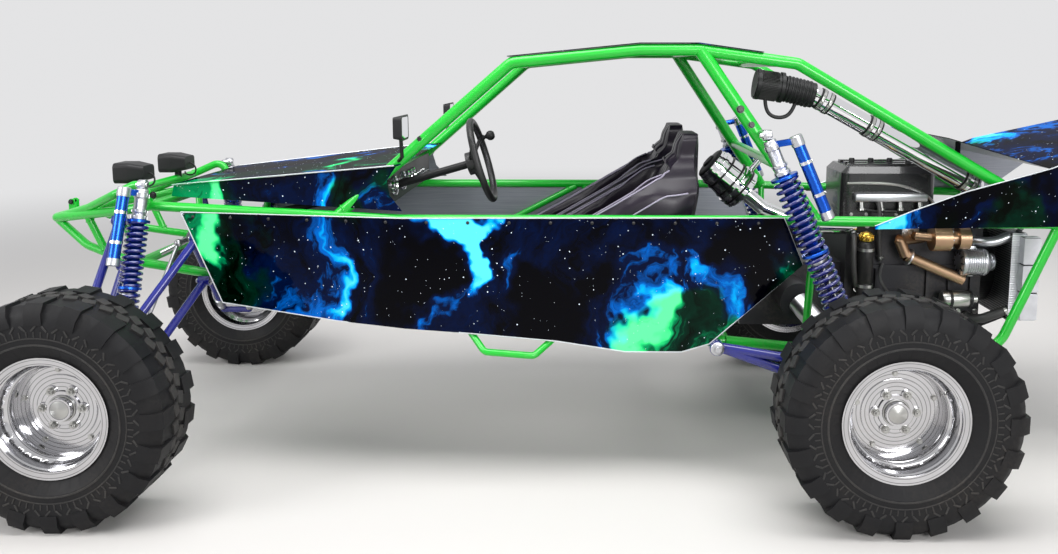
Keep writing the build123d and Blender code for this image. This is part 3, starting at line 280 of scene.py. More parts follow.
# Weld beads and bolts of the frame. Each cross tube is welded all round where it meets its rail, and hex
# bolts with washers hold the tabs for the shocks, the mirrors and the harness.
BEAD, BEAD_COUNT = 0.0034, 26
WELDS = [
    # foot of the bead, a point up the tube, tube's radius, distance of the bead from the foot
    ((-0.295, -0.47, 1.597), (-0.295, 0, 1.597), 0.019, 0.024),
    ((0.41, -0.462, 1.645), (0.41, 0, 1.645), 0.019, 0.024),
    ((0.73, -0.462, 1.6), (0.73, 0, 1.6), 0.019, 0.024),
    ((0.707, -0.527, 1.215), (0.707, 0, 1.215), 0.019, 0.028),
    ((-0.794, -0.504, 1.165), (-0.794, 0, 1.165), 0.019, 0.024),
    ((0.845, -0.539, 1.012), (0.415, -0.462, 1.645), 0.026, 0.026),
    ((-0.96, -0.506, 1.02), (-0.295, -0.47, 1.597), 0.0225, 0.036),
    ((-0.06, -0.545, 1.0), (-0.78, -0.523, 0.626), 0.015, 0.036),
    ((-0.02, -0.545, 1.0), (0.28, -0.528, 0.54), 0.015, 0.022),
    ((-0.78, -0.523, 0.626), (-0.06, -0.545, 1.0), 0.015, 0.034),
    ((0.28, -0.528, 0.54), (-0.02, -0.545, 1.0), 0.015, 0.022),
    ((-1.828, -0.3, 0.792), (-1.862, -0.371, 1.01), 0.015, 0.021),
    ((-1.54, -0.3, 0.745), (-1.54, -0.428, 1.014), 0.015, 0.021),
    ((-1.878, -0.388, 1.08), (-1.878, 0, 1.08), 0.015, 0.02),
    ((1.8, -0.46, 0.985), (1.6, -0.44, 0.48), 0.019, 0.022),
    ((1.8, -0.46, 0.985), (1.8, 0, 0.985), 0.019, 0.022),
    ((-1.985, -0.264, 0.822), (-2.05, -0.268, 0.975), 0.015, 0.018),
    ((-2.05, -0.268, 0.975), (-1.985, -0.264, 0.822), 0.015, 0.018),
]
FRAME_BOLTS = [
    # under the head, way the bolt points, width across the corners
    ((0.56, -0.52, 1.425), (0, -1, 0.1), 0.024),
    ((0.6, -0.536, 1.368), (0, -1, 0.1), 0.02),
    ((-2.256, -0.022, 0.999), (0, -1, 0), 0.018),
    ((-1.745, -0.424, 1.12), (0, -1, 0), 0.022),
    ((-1.702, -0.424, 1.086), (0, -1, 0), 0.022),
    ((-0.64, -0.502, 1.312), (0, -1, 0), 0.018),
]


def moved(*at):
    """The matrix that carries a shape to a place."""
    return Matrix.Translation(at)


def along(start, end):
    """The turn and place that carry the Z axis onto the line from start to end."""
    return moved(*start) @ (Vector(end) - Vector(start)).to_track_quat("Z", "Y").to_matrix().to_4x4()


def ring(count, start=0.0):
    """The turns that carry a shape to each place of a ring round the Z axis."""
    return [Matrix.Rotation(math.tau * (step + start) / count, 4, "Z") for step in range(count)]


def spun(mesh, profile, place=Matrix(), steps=32):
    """Adds a turned shape: radii and heights, spun round the Z axis and carried to its place."""
    before = set(mesh.verts)
    verts = [mesh.verts.new((radius, 0, height)) for radius, height in profile]
    edges = [mesh.edges.new(pair) for pair in zip(verts[:-1], verts[1:])]
    bmesh.ops.spin(mesh, geom=verts + edges, axis=(0, 0, 1), cent=(0, 0, 0), angle=math.tau, steps=steps,
                   use_merge=True)
    bmesh.ops.transform(mesh, matrix=place, verts=[vert for vert in mesh.verts if vert not in before])


def collar(mesh, inner, outer, low, high, place, steps=32, chamfer=0.0):
    """Adds a turned band from low to high, its two outer corners cut if it has a chamfer."""
    corners = [(outer - chamfer, low), (outer, low + chamfer), (outer, high - chamfer),
               (outer - chamfer, high)]
    spun(mesh, [(inner, low), *(corners if chamfer else corners[::3]), (inner, high)], place, steps)


def bevelled(mesh, made, offset, segments=1):
    """Bevels every edge of the shape that an operator has just added."""
    edges = {edge for vert in made["verts"] for edge in vert.link_edges}
    bmesh.ops.bevel(mesh, geom=list(edges), offset=offset, segments=segments, profile=0.5, affect="EDGES",
                    material=-1)


def bolt(mesh, at, way, across):
    """Adds a bevelled hex head on its washer, standing on a face."""
    place = along(at, Vector(at) + Vector(way))
    collar(mesh, 0, across * 0.62, 0, across * 0.1, place, 20)
    head = bmesh.ops.create_cone(mesh, cap_ends=True, segments=6, radius1=across / 2, radius2=across / 2,
                                 depth=across * 0.4, matrix=place @ moved(0, 0, across * 0.3))
    bevelled(mesh, head, across * 0.04)


def add_piece(name, mesh, material, body="chassis", corner=38, both_sides=False):
    """Closes a bmesh into a piece that rides on a body, mirrored if the object has it on both sides."""
    if both_sides:
        bmesh.ops.mirror(mesh, geom=mesh.verts[:] + mesh.edges[:] + mesh.faces[:], axis="Y", merge_dist=-1)
    bmesh.ops.remove_doubles(mesh, verts=mesh.verts, dist=MERGE)
    bmesh.ops.recalc_face_normals(mesh, faces=mesh.faces)
    for face in mesh.faces:
        face.smooth = True
    for edge in mesh.edges:
        edge.smooth = edge.calc_face_angle(0) < math.radians(corner)
    piece = placed(name, as_data(mesh, name))
    piece.data.materials.append(material)
    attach(piece, body)
    return piece


beads, bolts = bmesh.new(), bmesh.new()
for foot, up, radius, out in WELDS:
    for turn in ring(BEAD_COUNT):
        bmesh.ops.create_uvsphere(beads, u_segments=6, v_segments=4, radius=BEAD,
                                  matrix=along(foot, up) @ moved(0, 0, out) @ turn @ moved(radius, 0, 0))
add_piece("weld_beads", beads, frame_paint, both_sides=True)
dark_bolt = coated("black_oxide_steel", (0.05, 0.05, 0.052), (0.03, 0.03, 0.03), 0.35, 0.8)
for at, way, across in FRAME_BOLTS:
    bolt(bolts, at, way, across)
add_piece("frame_bolts", bolts, dark_bolt, both_sides=True)

# Body panels. Thin sheet in deep gloss black, airbrushed outside with smoke and flame in blue, cyan and
# green and with fine white spatter, under clear lacquer, and bare aluminium inside. The drawing is free.
PANEL_NODES = ["side_panel_left", "side_panel_right", "hood", "nose_side_panels", "roof_panel",
               "tail_side_panels", "tail_deck"]
BLUE_STEPS = [(0.0, (0, 0, 0.001, 1)), (0.36, (0, 0.004, 0.03, 1)), (0.55, (0, 0.10, 0.46, 1)),
              (0.76, (0, 0.44, 0.98, 1)), (1.0, (0.10, 0.76, 1, 1))]
GREEN_STEPS = [(0.0, (0, 0.001, 0, 1)), (0.36, (0, 0.02, 0.01, 1)), (0.55, (0, 0.24, 0.08, 1)),
               (0.76, (0.02, 0.74, 0.20, 1)), (1.0, (0.12, 0.96, 0.34, 1))]
FLAME_LEAN, FLAME_STRETCH = math.radians(24), (2.6, 0.6, 0.9)
SPATTER_DOT, SPATTER_TONE = 0.14, (0.75, 0.85, 0.95, 1)
material, tree, surface = new_material("airbrushed_panel", Specular_IOR_Level=0.0, Coat_Weight=0.15,
                                       Coat_Roughness=0.05)
place = shader(tree, "TexCoord", out="Object")
bend = noise(tree, place, 2.4, 4.0, "Color", Roughness=0.55)
bend = shader(tree, "VectorMath", {0: bend, 1: (0.5, 0.5, 0.5)}, operation="SUBTRACT")
bend = shader(tree, "VectorMath", {0: bend, "Scale": 0.8}, operation="SCALE")
bent = shader(tree, "VectorMath", {0: place, 1: bend}, operation="ADD")
stretched = shader(tree, "Mapping", Vector=bent, Rotation=(0, FLAME_LEAN, 0), Scale=FLAME_STRETCH)
licks = noise(tree, stretched, 2.1, 6.0, Roughness=0.5, Lacunarity=2.2, Distortion=0.3,
              noise_type="RIDGED_MULTIFRACTAL")
smoke = noise(tree, stretched, 2.0, 7.0, Roughness=0.62)
zone = ranged(tree, noise(tree, bent, 1.7, 2.0), 0.37, 0.47, interpolation_type="SMOOTHSTEP")
flame = worked(tree, "MULTIPLY", ranged(tree, smoke, 0.40, 0.62), 0.6)
flame = worked(tree, "ADD", flame, ranged(tree, licks, 0.16, 0.60))
flame = worked(tree, "MULTIPLY", flame, zone)
flame = worked(tree, "POWER", flame, 1.15, use_clamp=True)
ramps = []
for steps in (BLUE_STEPS, GREEN_STEPS):
    ramps.append(shader(tree, "ValToRGB", Fac=flame))
    stops = ramps[-1].node.color_ramp.elements
    stops.remove(stops[1])
    stops[0].position, stops[0].color = steps[0]
    for position, color in steps[1:]:
        stops.new(position).color = color
art = blended(tree, ranged(tree, noise(tree, bent, 1.1, 1.0), 0.53, 0.57), *ramps)
for size, least in ((55.0, 0.90), (130.0, 0.93)):
    cells = shader(tree, "TexVoronoi", Vector=place, Scale=size).node.outputs
    dot = worked(tree, "LESS_THAN", cells["Distance"], SPATTER_DOT)
    some = worked(tree, "GREATER_THAN", shader(tree, "SeparateColor", {0: cells["Color"]}), least)
    art = blended(tree, worked(tree, "MULTIPLY", dot, some), art, SPATTER_TONE)
sheet_side = worked(tree, "SIGN", shader(tree, "SeparateXYZ", {0: place}, "Y"))
facing = shader(tree, "SeparateXYZ", {0: shader(tree, "NewGeometry", out="True Normal")}).node.outputs
facing_out = worked(tree, "MULTIPLY", facing["Y"], sheet_side)
facing_out = worked(tree, "ADD", facing_out, facing["Z"])
inside = worked(tree, "LESS_THAN", facing_out, -0.3)
grain = noise(tree, shader(tree, "Mapping", Vector=place, Scale=(2, 2, 160)), 3.0, 4.0)
bare = blended(tree, grain, (0.20, 0.21, 0.24, 1), (0.42, 0.44, 0.49, 1))
fill(surface, Base_Color=blended(tree, inside, art, bare), Metallic=inside,
     Roughness=shader(tree, "Mix", {0: inside, 2: 0.14, 3: 0.42}))
for name in PANEL_NODES:
    finish_node(name, material)

# Panel edges and fasteners. The sheets are cut with a bright bare edge, and held to the tubes by screws with
# button heads.
PANEL_LINE, STRAIGHT_TO, NOSE_TAPER, TAIL_TAPER = 0.5736, 0.7, 0.147, 0.0827
SIDE_EDGE = [(-1.59, 1.022), (-1.434, 0.668), (-0.96, 0.614), (-0.459, 0.579), (-0.119, 0.549),
             (0.138, 0.509), (0.35, 0.509), (0.455, 0.541), (0.799, 0.847), (0.724, 1.025), (-0.7, 1.021),
             (-1.59, 1.022)]
HOOD_EDGE = [(-0.73, -0.553, 1.2165), (-1.655, -0.362, 1.1185)]
TAIL_EDGE = [(1.071, -0.541, 0.99), (1.205, -0.53, 1.042), (1.415, -0.513, 1.116), (1.738, -0.486, 1.2),
             (1.85, -0.482, 1.242), (2.272, -0.482, 1.334), (2.17, -0.482, 1.18), (1.9, -0.482, 0.978)]
SCREW_COUNT, SCREW_FROM, SCREW_PITCH, SCREW_Z = 15, -1.54, 0.155, 1.004


def panel_half(x):
    """Half-width of the side panels' outer face at a station."""
    return PANEL_LINE - NOSE_TAPER * max(0.0, -STRAIGHT_TO - x) - TAIL_TAPER * max(0.0, x - STRAIGHT_TO)


def pipe(mesh, points, radius, fineness=1, smooth=False, capped=True):
    """Adds a round bar or pipe through the points, straight between them or smooth along them."""
    curve = bpy.data.curves.new("route", "CURVE")
    curve.dimensions, curve.bevel_depth, curve.bevel_resolution = "3D", radius, fineness
    curve.use_fill_caps, curve.resolution_u = capped, 10
    spline = curve.splines.new("NURBS" if smooth else "POLY")
    spline.points.add(len(points) - 1)
    for point, at in zip(spline.points, points):
        point.co = (*at, 1)
    if smooth:
        spline.order_u, spline.use_endpoint_u = 3, True
    holder = bpy.data.objects.new("route", curve)
    made = bpy.data.meshes.new_from_object(holder)
    mesh.from_mesh(made)
    bpy.data.objects.remove(holder)
    bpy.data.curves.remove(curve)
    bpy.data.meshes.remove(made)


bright_edge = coated("bare_sheet_edge", (0.72, 0.75, 0.78), (0.55, 0.58, 0.6), 0.35, 0.6, dust=0.05)
edges, screws = bmesh.new(), bmesh.new()
pipe(edges, [(x, -panel_half(x) - 0.0005, z) for x, z in SIDE_EDGE], 0.0024, capped=False)
pipe(edges, HOOD_EDGE, 0.0026)
pipe(edges, TAIL_EDGE, 0.0024)
add_piece("panel_edges", edges, bright_edge, both_sides=True)
for step in range(SCREW_COUNT):
    x = SCREW_FROM + SCREW_PITCH * step
    place = along((x, -panel_half(x), SCREW_Z), (x, -panel_half(x) - 1, SCREW_Z))
    spun(screws, [(0, 0.003), (0.0035, 0.003), (0.0062, 0.0012), (0.0066, 0)], place, 12)
add_piece("panel_screws", screws, dark_bolt, both_sides=True)

# Floor pan. Sheet aluminium laid over the bottom rails, scuffed by boots and dusty.
finish_node("floor_pan", coated("scuffed_aluminium", (0.46, 0.47, 0.50), (0.30, 0.31, 0.34), 0.42, 1.0,
                                dust=0.9, blotch=14.0))

# Wheels. Polished cast rims with a stepped dish, hub nuts round a plain cap, small clamp bolts near the edge
# of the disc and a valve. The tyres are mud tyres with staggered blocks, side ribs and rings.
AXLE_Z, WHEEL_Y, FRONT_AXLE, REAR_AXLE = 0.405, 0.900, -1.833, 1.053
WHEELS = [
    # corner, body, axle's x, side
    ("front_left", "wheel_fl", FRONT_AXLE, -1),
    ("front_right", "wheel_fr", FRONT_AXLE, 1),
    ("rear_left", "wheel_rl", REAR_AXLE, -1),
    ("rear_right", "wheel_rr", REAR_AXLE, 1),
]
STUD_RADIUS, STUD_COUNT, CLAMP_RADIUS, CLAMP_COUNT = 0.070, 6, 0.138, 5
DISC_FACE, FLANGE_FACE = 0.005, 0.014
TURNING_RINGS, STEP_SHADE_RINGS = 2600.0, 430.0
TREAD_COUNT, TREAD_TIP, TREAD_DEPTH, TREAD_BLOCK = 40, 0.4042, 0.011, (0.044, 0.034)
TREAD_ROWS = [
    # distance out, turn of the row, skew of its blocks
    (0.020, 0.0, 0.35),
    (-0.020, 0.5, -0.35),
]
SIDE_FACE, NARROW_RIBS, LEANING_RIBS, SHOULDER_RIBS = 0.1428, 80, 56, 20


def block(mesh, size, place, round_off=0.0, segments=1):
    """Adds a box with rounded edges, carried to its place."""
    made = bmesh.ops.create_cube(mesh, size=1.0, matrix=place @ Matrix.Diagonal((*size, 1)))
    if round_off:
        bevelled(mesh, made, round_off, segments)


# Turned metal has fine rings round the wheel's axle, whose distance is taken from Object coordinates.
rim_metal, tree, surface = new_material("polished_rim", Metallic=1.0)
place = shader(tree, "TexCoord", out="Object")
split = shader(tree, "SeparateXYZ", {0: place}).node.outputs
hub_x = shader(tree, "Mix", {0: worked(tree, "GREATER_THAN", split["X"], 0.0), 2: FRONT_AXLE, 3: REAR_AXLE})
flat = shader(tree, "CombineXYZ", X=worked(tree, "SUBTRACT", split["X"], hub_x),
              Y=worked(tree, "SUBTRACT", split["Z"], AXLE_Z))
reach = shader(tree, "VectorMath", {0: flat}, "Value", operation="LENGTH")
rings = worked(tree, "SINE", worked(tree, "MULTIPLY", reach, TURNING_RINGS))
cloud = noise(tree, place, 9.0, 5.0)
tone = blended(tree, cloud, (0.46, 0.46, 0.47, 1), (0.62, 0.62, 0.64, 1))
# Near-black rings about every 15 mm round the axle: painted shade, standing in for the shade at the steps of
# the dish.
step_shade = worked(tree, "SINE", worked(tree, "MULTIPLY", reach, STEP_SHADE_RINGS))
tone = blended(tree, ranged(tree, step_shade, 0.72, 0.98, 0.0, 0.7), tone, (0.06, 0.06, 0.07, 1))
dusty_surface(surface, tone, ranged(tree, cloud, to_low=0.05, to_high=0.16), place, 0.18,
              shader(tree, "Bump", Height=rings, Distance=0.00002, Strength=0.35))

zinc = coated("zinc_plated_steel", (0.55, 0.55, 0.53), (0.36, 0.36, 0.35), metallic=1.0, dust=0.2)
tyre_rubber = coated("tyre_rubber", (0.01, 0.01, 0.011), (0.005, 0.005, 0.006), 0.55, dust=0.05,
                     peel=(240.0, 0.35), blotch=24.0, Specular_IOR_Level=0.22)
# Lighter rubber: wear and dust on the tread blocks, and on the side ribs a painted highlight that makes the
# raised ribs stand out.
worn_and_highlit_rubber = coated("worn_tread_and_rib_highlight", (0.05, 0.048, 0.047), (0.016, 0.016, 0.016), 0.62, dust=0.12,
                     peel=(160.0, 0.5), blotch=40.0, Specular_IOR_Level=0.22)
hardware, tread, ribs = bmesh.new(), bmesh.new(), bmesh.new()
for turn in ring(STUD_COUNT):
    place = turn @ moved(STUD_RADIUS, 0, FLANGE_FACE)
    bolt(hardware, place.translation, (0, 0, 1), 0.024)
    spun(hardware, [(0, 0.02), (0.0045, 0.019), (0.0055, 0.016), (0.0055, 0)], place, 12)
for turn in ring(CLAMP_COUNT, 0.3):
    bolt(hardware, turn @ Vector((CLAMP_RADIUS, 0, DISC_FACE)), (0, 0, 1), 0.017)
spun(hardware, [(0.044, 0.0138), (0.047, 0.0142), (0.047, 0.018), (0.044, 0.0186)], steps=40)
spun(hardware, [(0, 0.0395), (0.012, 0.0392), (0.016, 0.037), (0.03, 0.0362), (0.034, 0.034)], steps=40)
spun(hardware, [(0, 0.036), (0.0032, 0.036), (0.0036, 0.026), (0.005, 0.024), (0.0055, 0)],
     along((0.15, 0.09, 0.045), (0.138, 0.083, 0.085)), 14)
for out, start, skew in TREAD_ROWS:
    for turn in ring(TREAD_COUNT, start):
        place = turn @ moved(TREAD_TIP - TREAD_DEPTH / 2, 0, out) @ Matrix.Rotation(skew, 4, "X")
        block(tread, (TREAD_DEPTH, *TREAD_BLOCK), place, 0.0016)
for face, start in ((1, 0.0), (-1, 0.5)):
    out = face * SIDE_FACE
    for edge, width, slope, height in ((0.262, 0.0075, 0.0015, 0.0026), (0.286, 0.005, 0.001, 0.002)):
        spun(ribs, [(edge, out), (edge + slope, out + face * height),
                    (edge + width - slope, out + face * height), (edge + width, out)], steps=64)
    for turn in ring(NARROW_RIBS):
        block(ribs, (0.02, 0.0042, 0.005), turn @ moved(0.302, 0, out), 0.0008)
    for step, turn in enumerate(ring(LEANING_RIBS)):
        lean = Matrix.Rotation(0.75 if step % 2 else -0.75, 4, "Z")
        block(ribs, (0.026, 0.0062, 0.0048), turn @ moved(0.3225, 0, out + face * 0.0005) @ lean, 0.001)
    for turn in ring(SHOULDER_RIBS, start):
        for y in (-0.0145, 0.0145):
            block(ribs, (0.03, 0.016, 0.0036), turn @ moved(0.352, y, out + face * 0.0012), 0.001)
for corner, body, x, side in WHEELS:
    upright = moved(x, side * WHEEL_Y, AXLE_Z) @ Matrix.Rotation(math.radians(-90 * side), 4, "X")
    finish_node("rim_" + corner, rim_metal)
    finish_node("tyre_" + corner, tyre_rubber)
    for name, shape, finish in (("rim_hardware_", hardware, zinc), ("tread_", tread, worn_and_highlit_rubber),
                                ("side_ribs_", ribs, worn_and_highlit_rubber)):
        copy = shape.copy()
        bmesh.ops.transform(copy, matrix=upright, verts=copy.verts)
        add_piece(name + corner, copy, finish, body)
for shape in (hardware, tread, ribs):
    shape.free()

# Coil-over shocks. Each has a threaded alloy body, a plated rod, blue spring seats with a slider between its
# two wound springs of round wire, rod eyes, and a reservoir with a blue sleeve beside it on a bridge.
SHOCKS = [
    # top eye, bottom eye, reservoir's top and end, coil's diameter
    ((-1.733, -0.438, 1.128), (-1.779, -0.632, 0.428), (-1.776, -0.496, 1.126), (-1.8, -0.578, 0.835), 0.084),
    ((0.642, -0.622, 1.336), (0.972, -0.672, 0.56), (0.738, -0.64, 1.336), (0.866, -0.66, 1.034), 0.100),
]
SPRING_WIRE, SPRING_TURNS, SPRING_STEPS, SPRING_FROM, SPRING_TO, SLIDER = 0.015, 21, 22, 0.2, 0.84, 0.55
THREAD_PITCH = 0.0042
NUTS = [
    # part of the way down, width, radius
    (0.165, 0.016, 0.029),
    (0.135, 0.012, 0.0275),
    (0.578, 0.02, 0.028),
    (0.045, 0.02, 0.0265),
]


def span(start, end):
    """The distance between two points."""
    return (Vector(end) - Vector(start)).length


def share(start, end, part):
    """The point at a part of the way from start to end."""
    return Vector(start).lerp(Vector(end), part)


def wound(mesh, start, end, radius, turns):
    """Adds a helical spring: a round section spun round the line between two points while it moves along."""
    lying = moved(radius, 0, 0) @ Matrix.Rotation(math.radians(90), 4, "X")
    section = bmesh.ops.create_circle(mesh, segments=8, radius=SPRING_WIRE / 2, matrix=lying)["verts"]
    before = set(mesh.verts) - set(section)
    edges = {edge for vert in section for edge in vert.link_edges}
    bmesh.ops.spin(mesh, geom=section + list(edges), axis=(0, 0, 1), cent=(0, 0, 0), angle=math.tau * turns,
                   dvec=(0, 0, span(start, end) / turns / SPRING_STEPS), steps=int(turns * SPRING_STEPS))
    made = [vert for vert in mesh.verts if vert not in before]
    rims = [edge for edge in {edge for vert in made for edge in vert.link_edges} if edge.is_boundary]
    bmesh.ops.holes_fill(mesh, edges=rims, sides=8)
    bmesh.ops.transform(mesh, matrix=along(start, end), verts=made)


spring_blue = coated("spring_enamel", (0.003, 0.008, 0.17), (0.002, 0.004, 0.09), 0.16, dust=0.03,
                     Coat_Weight=1.0, Coat_Roughness=0.05)
shock_blue = coated("anodised_blue", (0.015, 0.12, 0.62), (0.008, 0.06, 0.4), 0.22, 0.85)
bare_aluminium = coated("bare_aluminium", (0.62, 0.63, 0.66), (0.45, 0.46, 0.49), 0.34, 1.0)
chrome = coated("polished_chrome", (0.86, 0.86, 0.88), (0.78, 0.78, 0.8), 0.06, 1.0, dust=0.1,
                peel=(40.0, 0.02))
springs, bodies, sleeves, rods = (bmesh.new() for _ in range(4))
for top, bottom, reservoir_top, reservoir_end, coil in SHOCKS:
    line, length = along(top, bottom), span(top, bottom)
    for part_from, part_to in ((SPRING_FROM, SLIDER - 0.008), (SLIDER + 0.008, SPRING_TO)):
        wound(springs, share(top, bottom, part_from), share(top, bottom, part_to), (coil - SPRING_WIRE) / 2,
              SPRING_TURNS * (part_to - part_from) / (SPRING_TO - SPRING_FROM))
    for metal, part_from, part_to in ((bodies, 0.025, 0.186), (sleeves, 0.187, 0.62)):
        high, low = length * part_from, length * part_to
        thread = [(0, high), (0.0215, high), (0.0232, high + 0.002)]
        for step in range(int(length * (part_to - part_from - 0.012) / THREAD_PITCH)):
            root = high + 0.004 + step * THREAD_PITCH
            thread += [(0.0232, root), (0.0244, root + THREAD_PITCH / 2)]
        spun(metal, thread + [(0.0232, low - 0.002), (0.0215, low), (0, low)], line, 28)
    for part, width, radius in NUTS:
        low = length * part
        collar(bodies, 0.022, radius, low, low + width, line, chamfer=0.001)
        for turn in ring(8):
            notch = line @ turn @ moved(radius, 0, low + width / 2)
            block(bodies, (0.004, 0.006, width * 0.8), notch, 0.0008)
    for part in (SPRING_FROM - 0.004, SLIDER, SPRING_TO + 0.004):
        low = length * part - 0.005
        collar(sleeves, 0.0245, coil / 2 + 0.001, low, low + 0.01, line, 36, 0.001)
    spun(sleeves, [(0.012, length * 0.855), (0.02, length * 0.857), (0.018, length * 0.9),
                   (0.012, length * 0.902)], line, 28)
    collar(rods, 0, 0.0118, length * 0.6, length * 0.965, line, 24)
    for eye in (top, bottom):
        side = Vector(eye) - Vector((0.015, 0, 0))
        spun(bodies, [(0.01, 0), (0.019, 0), (0.02, 0.0015), (0.02, 0.0285), (0.019, 0.03), (0.01, 0.03)],
             along(side, eye), 28)
        spun(rods, [(0, 0.034), (0.007, 0.034), (0.01, 0.031), (0.01, -0.001), (0.007, -0.004), (0, -0.004)],
             along(side, eye), 20)
        bolt(rods, Vector(eye) - Vector((0.016, 0, 0)), (-1, 0, 0), 0.02)
    beside, tank = along(reservoir_top, reservoir_end), span(reservoir_top, reservoir_end)
    collar(sleeves, 0, 0.0218, tank * 0.11, tank * 0.91, beside)
    spun(bodies, [(0, 0), (0.021, 0), (0.0245, 0.003), (0.025, tank * 0.1), (0.0238, tank * 0.12),
                  (0, tank * 0.12)], beside)
    spun(bodies, [(0, tank * 0.9), (0.0232, tank * 0.9), (0.024, tank * 0.915), (0.024, tank - 0.004),
                  (0.02, tank), (0.008, tank), (0.008, tank - 0.006), (0, tank - 0.006)], beside)
    for part in (0.3, 0.68):
        low = tank * part
        collar(rods, 0.0215, 0.0232, low, low + 0.012, beside)
        bolt(rods, beside @ Vector((0, 0.0225, low + 0.006)), beside.to_3x3() @ Vector((0, 1, 0)), 0.008)
    bridge_from, bridge_to = share(top, bottom, 0.045), share(reservoir_top, reservoir_end, 0.06)
    block(sleeves, (0.024, 0.024, span(bridge_from, bridge_to)),
          along((bridge_from + bridge_to) / 2, bridge_to), 0.004, 2)
pipe(bodies, [(0.642, -0.622, 1.336), (0.64, -0.51, 1.338)], 0.013, 3)
spring_piece = add_piece("shock_springs", springs, spring_blue, corner=60, both_sides=True)
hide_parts("front_coilovers", "rear_coilovers")
add_piece("shock_bodies", bodies, bare_aluminium, both_sides=True)
add_piece("shock_sleeves", sleeves, shock_blue, both_sides=True)
add_piece("shock_rods", rods, chrome, both_sides=True)
finished.update(("front_coilovers", "rear_coilovers"))

# Suspension arms. Round tube in royal blue, with alloy sleeves at the outer ends, bushes held by through
# bolts at the frame, and capped ball joints.
ARM_TUBES = [
    # frame end, wheel end
    ((-1.855, -0.399, 0.981), (-1.9, -0.69, 0.545)),
    ((-1.54, -0.42, 0.915), (-1.762, -0.69, 0.535)),
    ((-1.89, -0.317, 0.781), (-1.9, -0.69, 0.33)),
    ((-1.557, -0.331, 0.723), (-1.766, -0.69, 0.33)),
]
BALL_JOINTS = [(-1.833, -0.746, 0.5235), (-1.833, -0.746, 0.3335)]
TRAILING_PIVOT = Vector((0.484, -0.594, 0.527))
arm_paint = coated("arm_blue", (0.004, 0.01, 0.24), (0.002, 0.005, 0.14), 0.22, dust=0.08, Coat_Weight=0.6)
alloy = bmesh.new()
for inner, outer in ARM_TUBES:
    line, length = along(inner, outer), span(inner, outer)
    spun(alloy, [(0.0155, length - 0.09), (0.0185, length - 0.088), (0.019, length - 0.084),
                 (0.019, length - 0.026), (0.0185, length - 0.022), (0.0155, length - 0.02)], line, 28)
    for at in (0.086, 0.04):
        spun(alloy, [(0.0185, length - at), (0.0205, length - at + 0.001), (0.0205, length - at + 0.006),
                     (0.0185, length - at + 0.007)], line, 28)
    for way in (1, -1):
        bolt(alloy, Vector(inner) + Vector((way * 0.024, 0, 0)), (way, 0, 0), 0.02)
for at in BALL_JOINTS:
    spun(alloy, [(0.011, 0), (0.0185, 0), (0.019, 0.002), (0.0175, 0.004), (0.011, 0.0042)], moved(*at), 24)
spun(alloy, [(0, 0.004), (0.016, 0.004), (0.024, 0.002), (0.026, 0)],
     along(TRAILING_PIVOT, TRAILING_PIVOT + Vector((0, -1, 0))), 28)
bolt(alloy, TRAILING_PIVOT + Vector((0, -0.003, 0)), (0, -1, 0), 0.026)
add_piece("arm_alloy", alloy, bare_aluminium, both_sides=True)

# Seats. High-backed buckets of foam under dark vinyl with a violet cast, sewn in upright pleats on the back
# and headrest, and edged with piping from the knee bolsters to the shoulders, its pale colour a painted
# highlight.
SEAT_MIDDLE, SEAT_SHRINK, SEAT_VOXEL, SEAT_SWELL, SEAT_REST = -0.280, 0.012, 0.011, 0.024, 0.003
BASE_FROM, BASE_TO = 0.60, 0.68
PLEATS, PLEAT_DEPTH, PLEAT_WIDTH, PLEAT_HALF = (-0.075, -0.025, 0.025, 0.075), 0.007, 0.0065, 0.125
EDGE_LINE = [(-0.3, 0.7), (-0.322, 0.805), (-0.28, 0.878), (-0.05, 1.012), (0.15, 1.128), (0.285, 1.205)]
PIPING = [
    # distance from the seat's middle, then the line's x and z
    (-0.212, EDGE_LINE + [(0.34, 1.25)]),
    (-0.158, EDGE_LINE),
    (-0.240, [(-0.29, 0.76), (-0.05, 0.9), (0.15, 1.015), (0.29, 1.1), (0.4, 1.12)]),
    (-0.240, [(-0.28, 0.64), (0.0, 0.8), (0.2, 0.915), (0.33, 0.99), (0.395, 1.0)]),
    (0.212, EDGE_LINE + [(0.34, 1.25)]),
    (0.158, EDGE_LINE),
]


def set_all(target, values):
    """Sets named settings, and those of what they hold."""
    for name, value in values.items():
        if isinstance(value, dict):
            set_all(getattr(target, name), value)
        else:
            setattr(target, name, value)


def evaluated(data, kind, frames=1, **settings):
    """The mesh that a mesh becomes under one modifier after some frames, on a scratch object."""
    holder = placed("scratch", data)
    set_all(holder.modifiers.new("shaping", kind), settings)
    for step in range(1, frames + 1):
        bpy.context.scene.frame_set(step)
    made = bpy.data.meshes.new_from_object(holder.evaluated_get(bpy.context.evaluated_depsgraph_get()))
    bpy.data.objects.remove(holder)
    return made


foam = bmesh.new()
foam.from_mesh(nodes["seat_left"].data)
bmesh.ops.remove_doubles(foam, verts=foam.verts, dist=0.0001)
bmesh.ops.recalc_face_normals(foam, faces=foam.faces)
shape = bmesh.new()
shape.from_mesh(evaluated(as_data(foam, "foam"), "REMESH", mode="VOXEL", voxel_size=SEAT_VOXEL))
for vert in shape.verts:
    vert.co -= vert.normal * SEAT_SHRINK
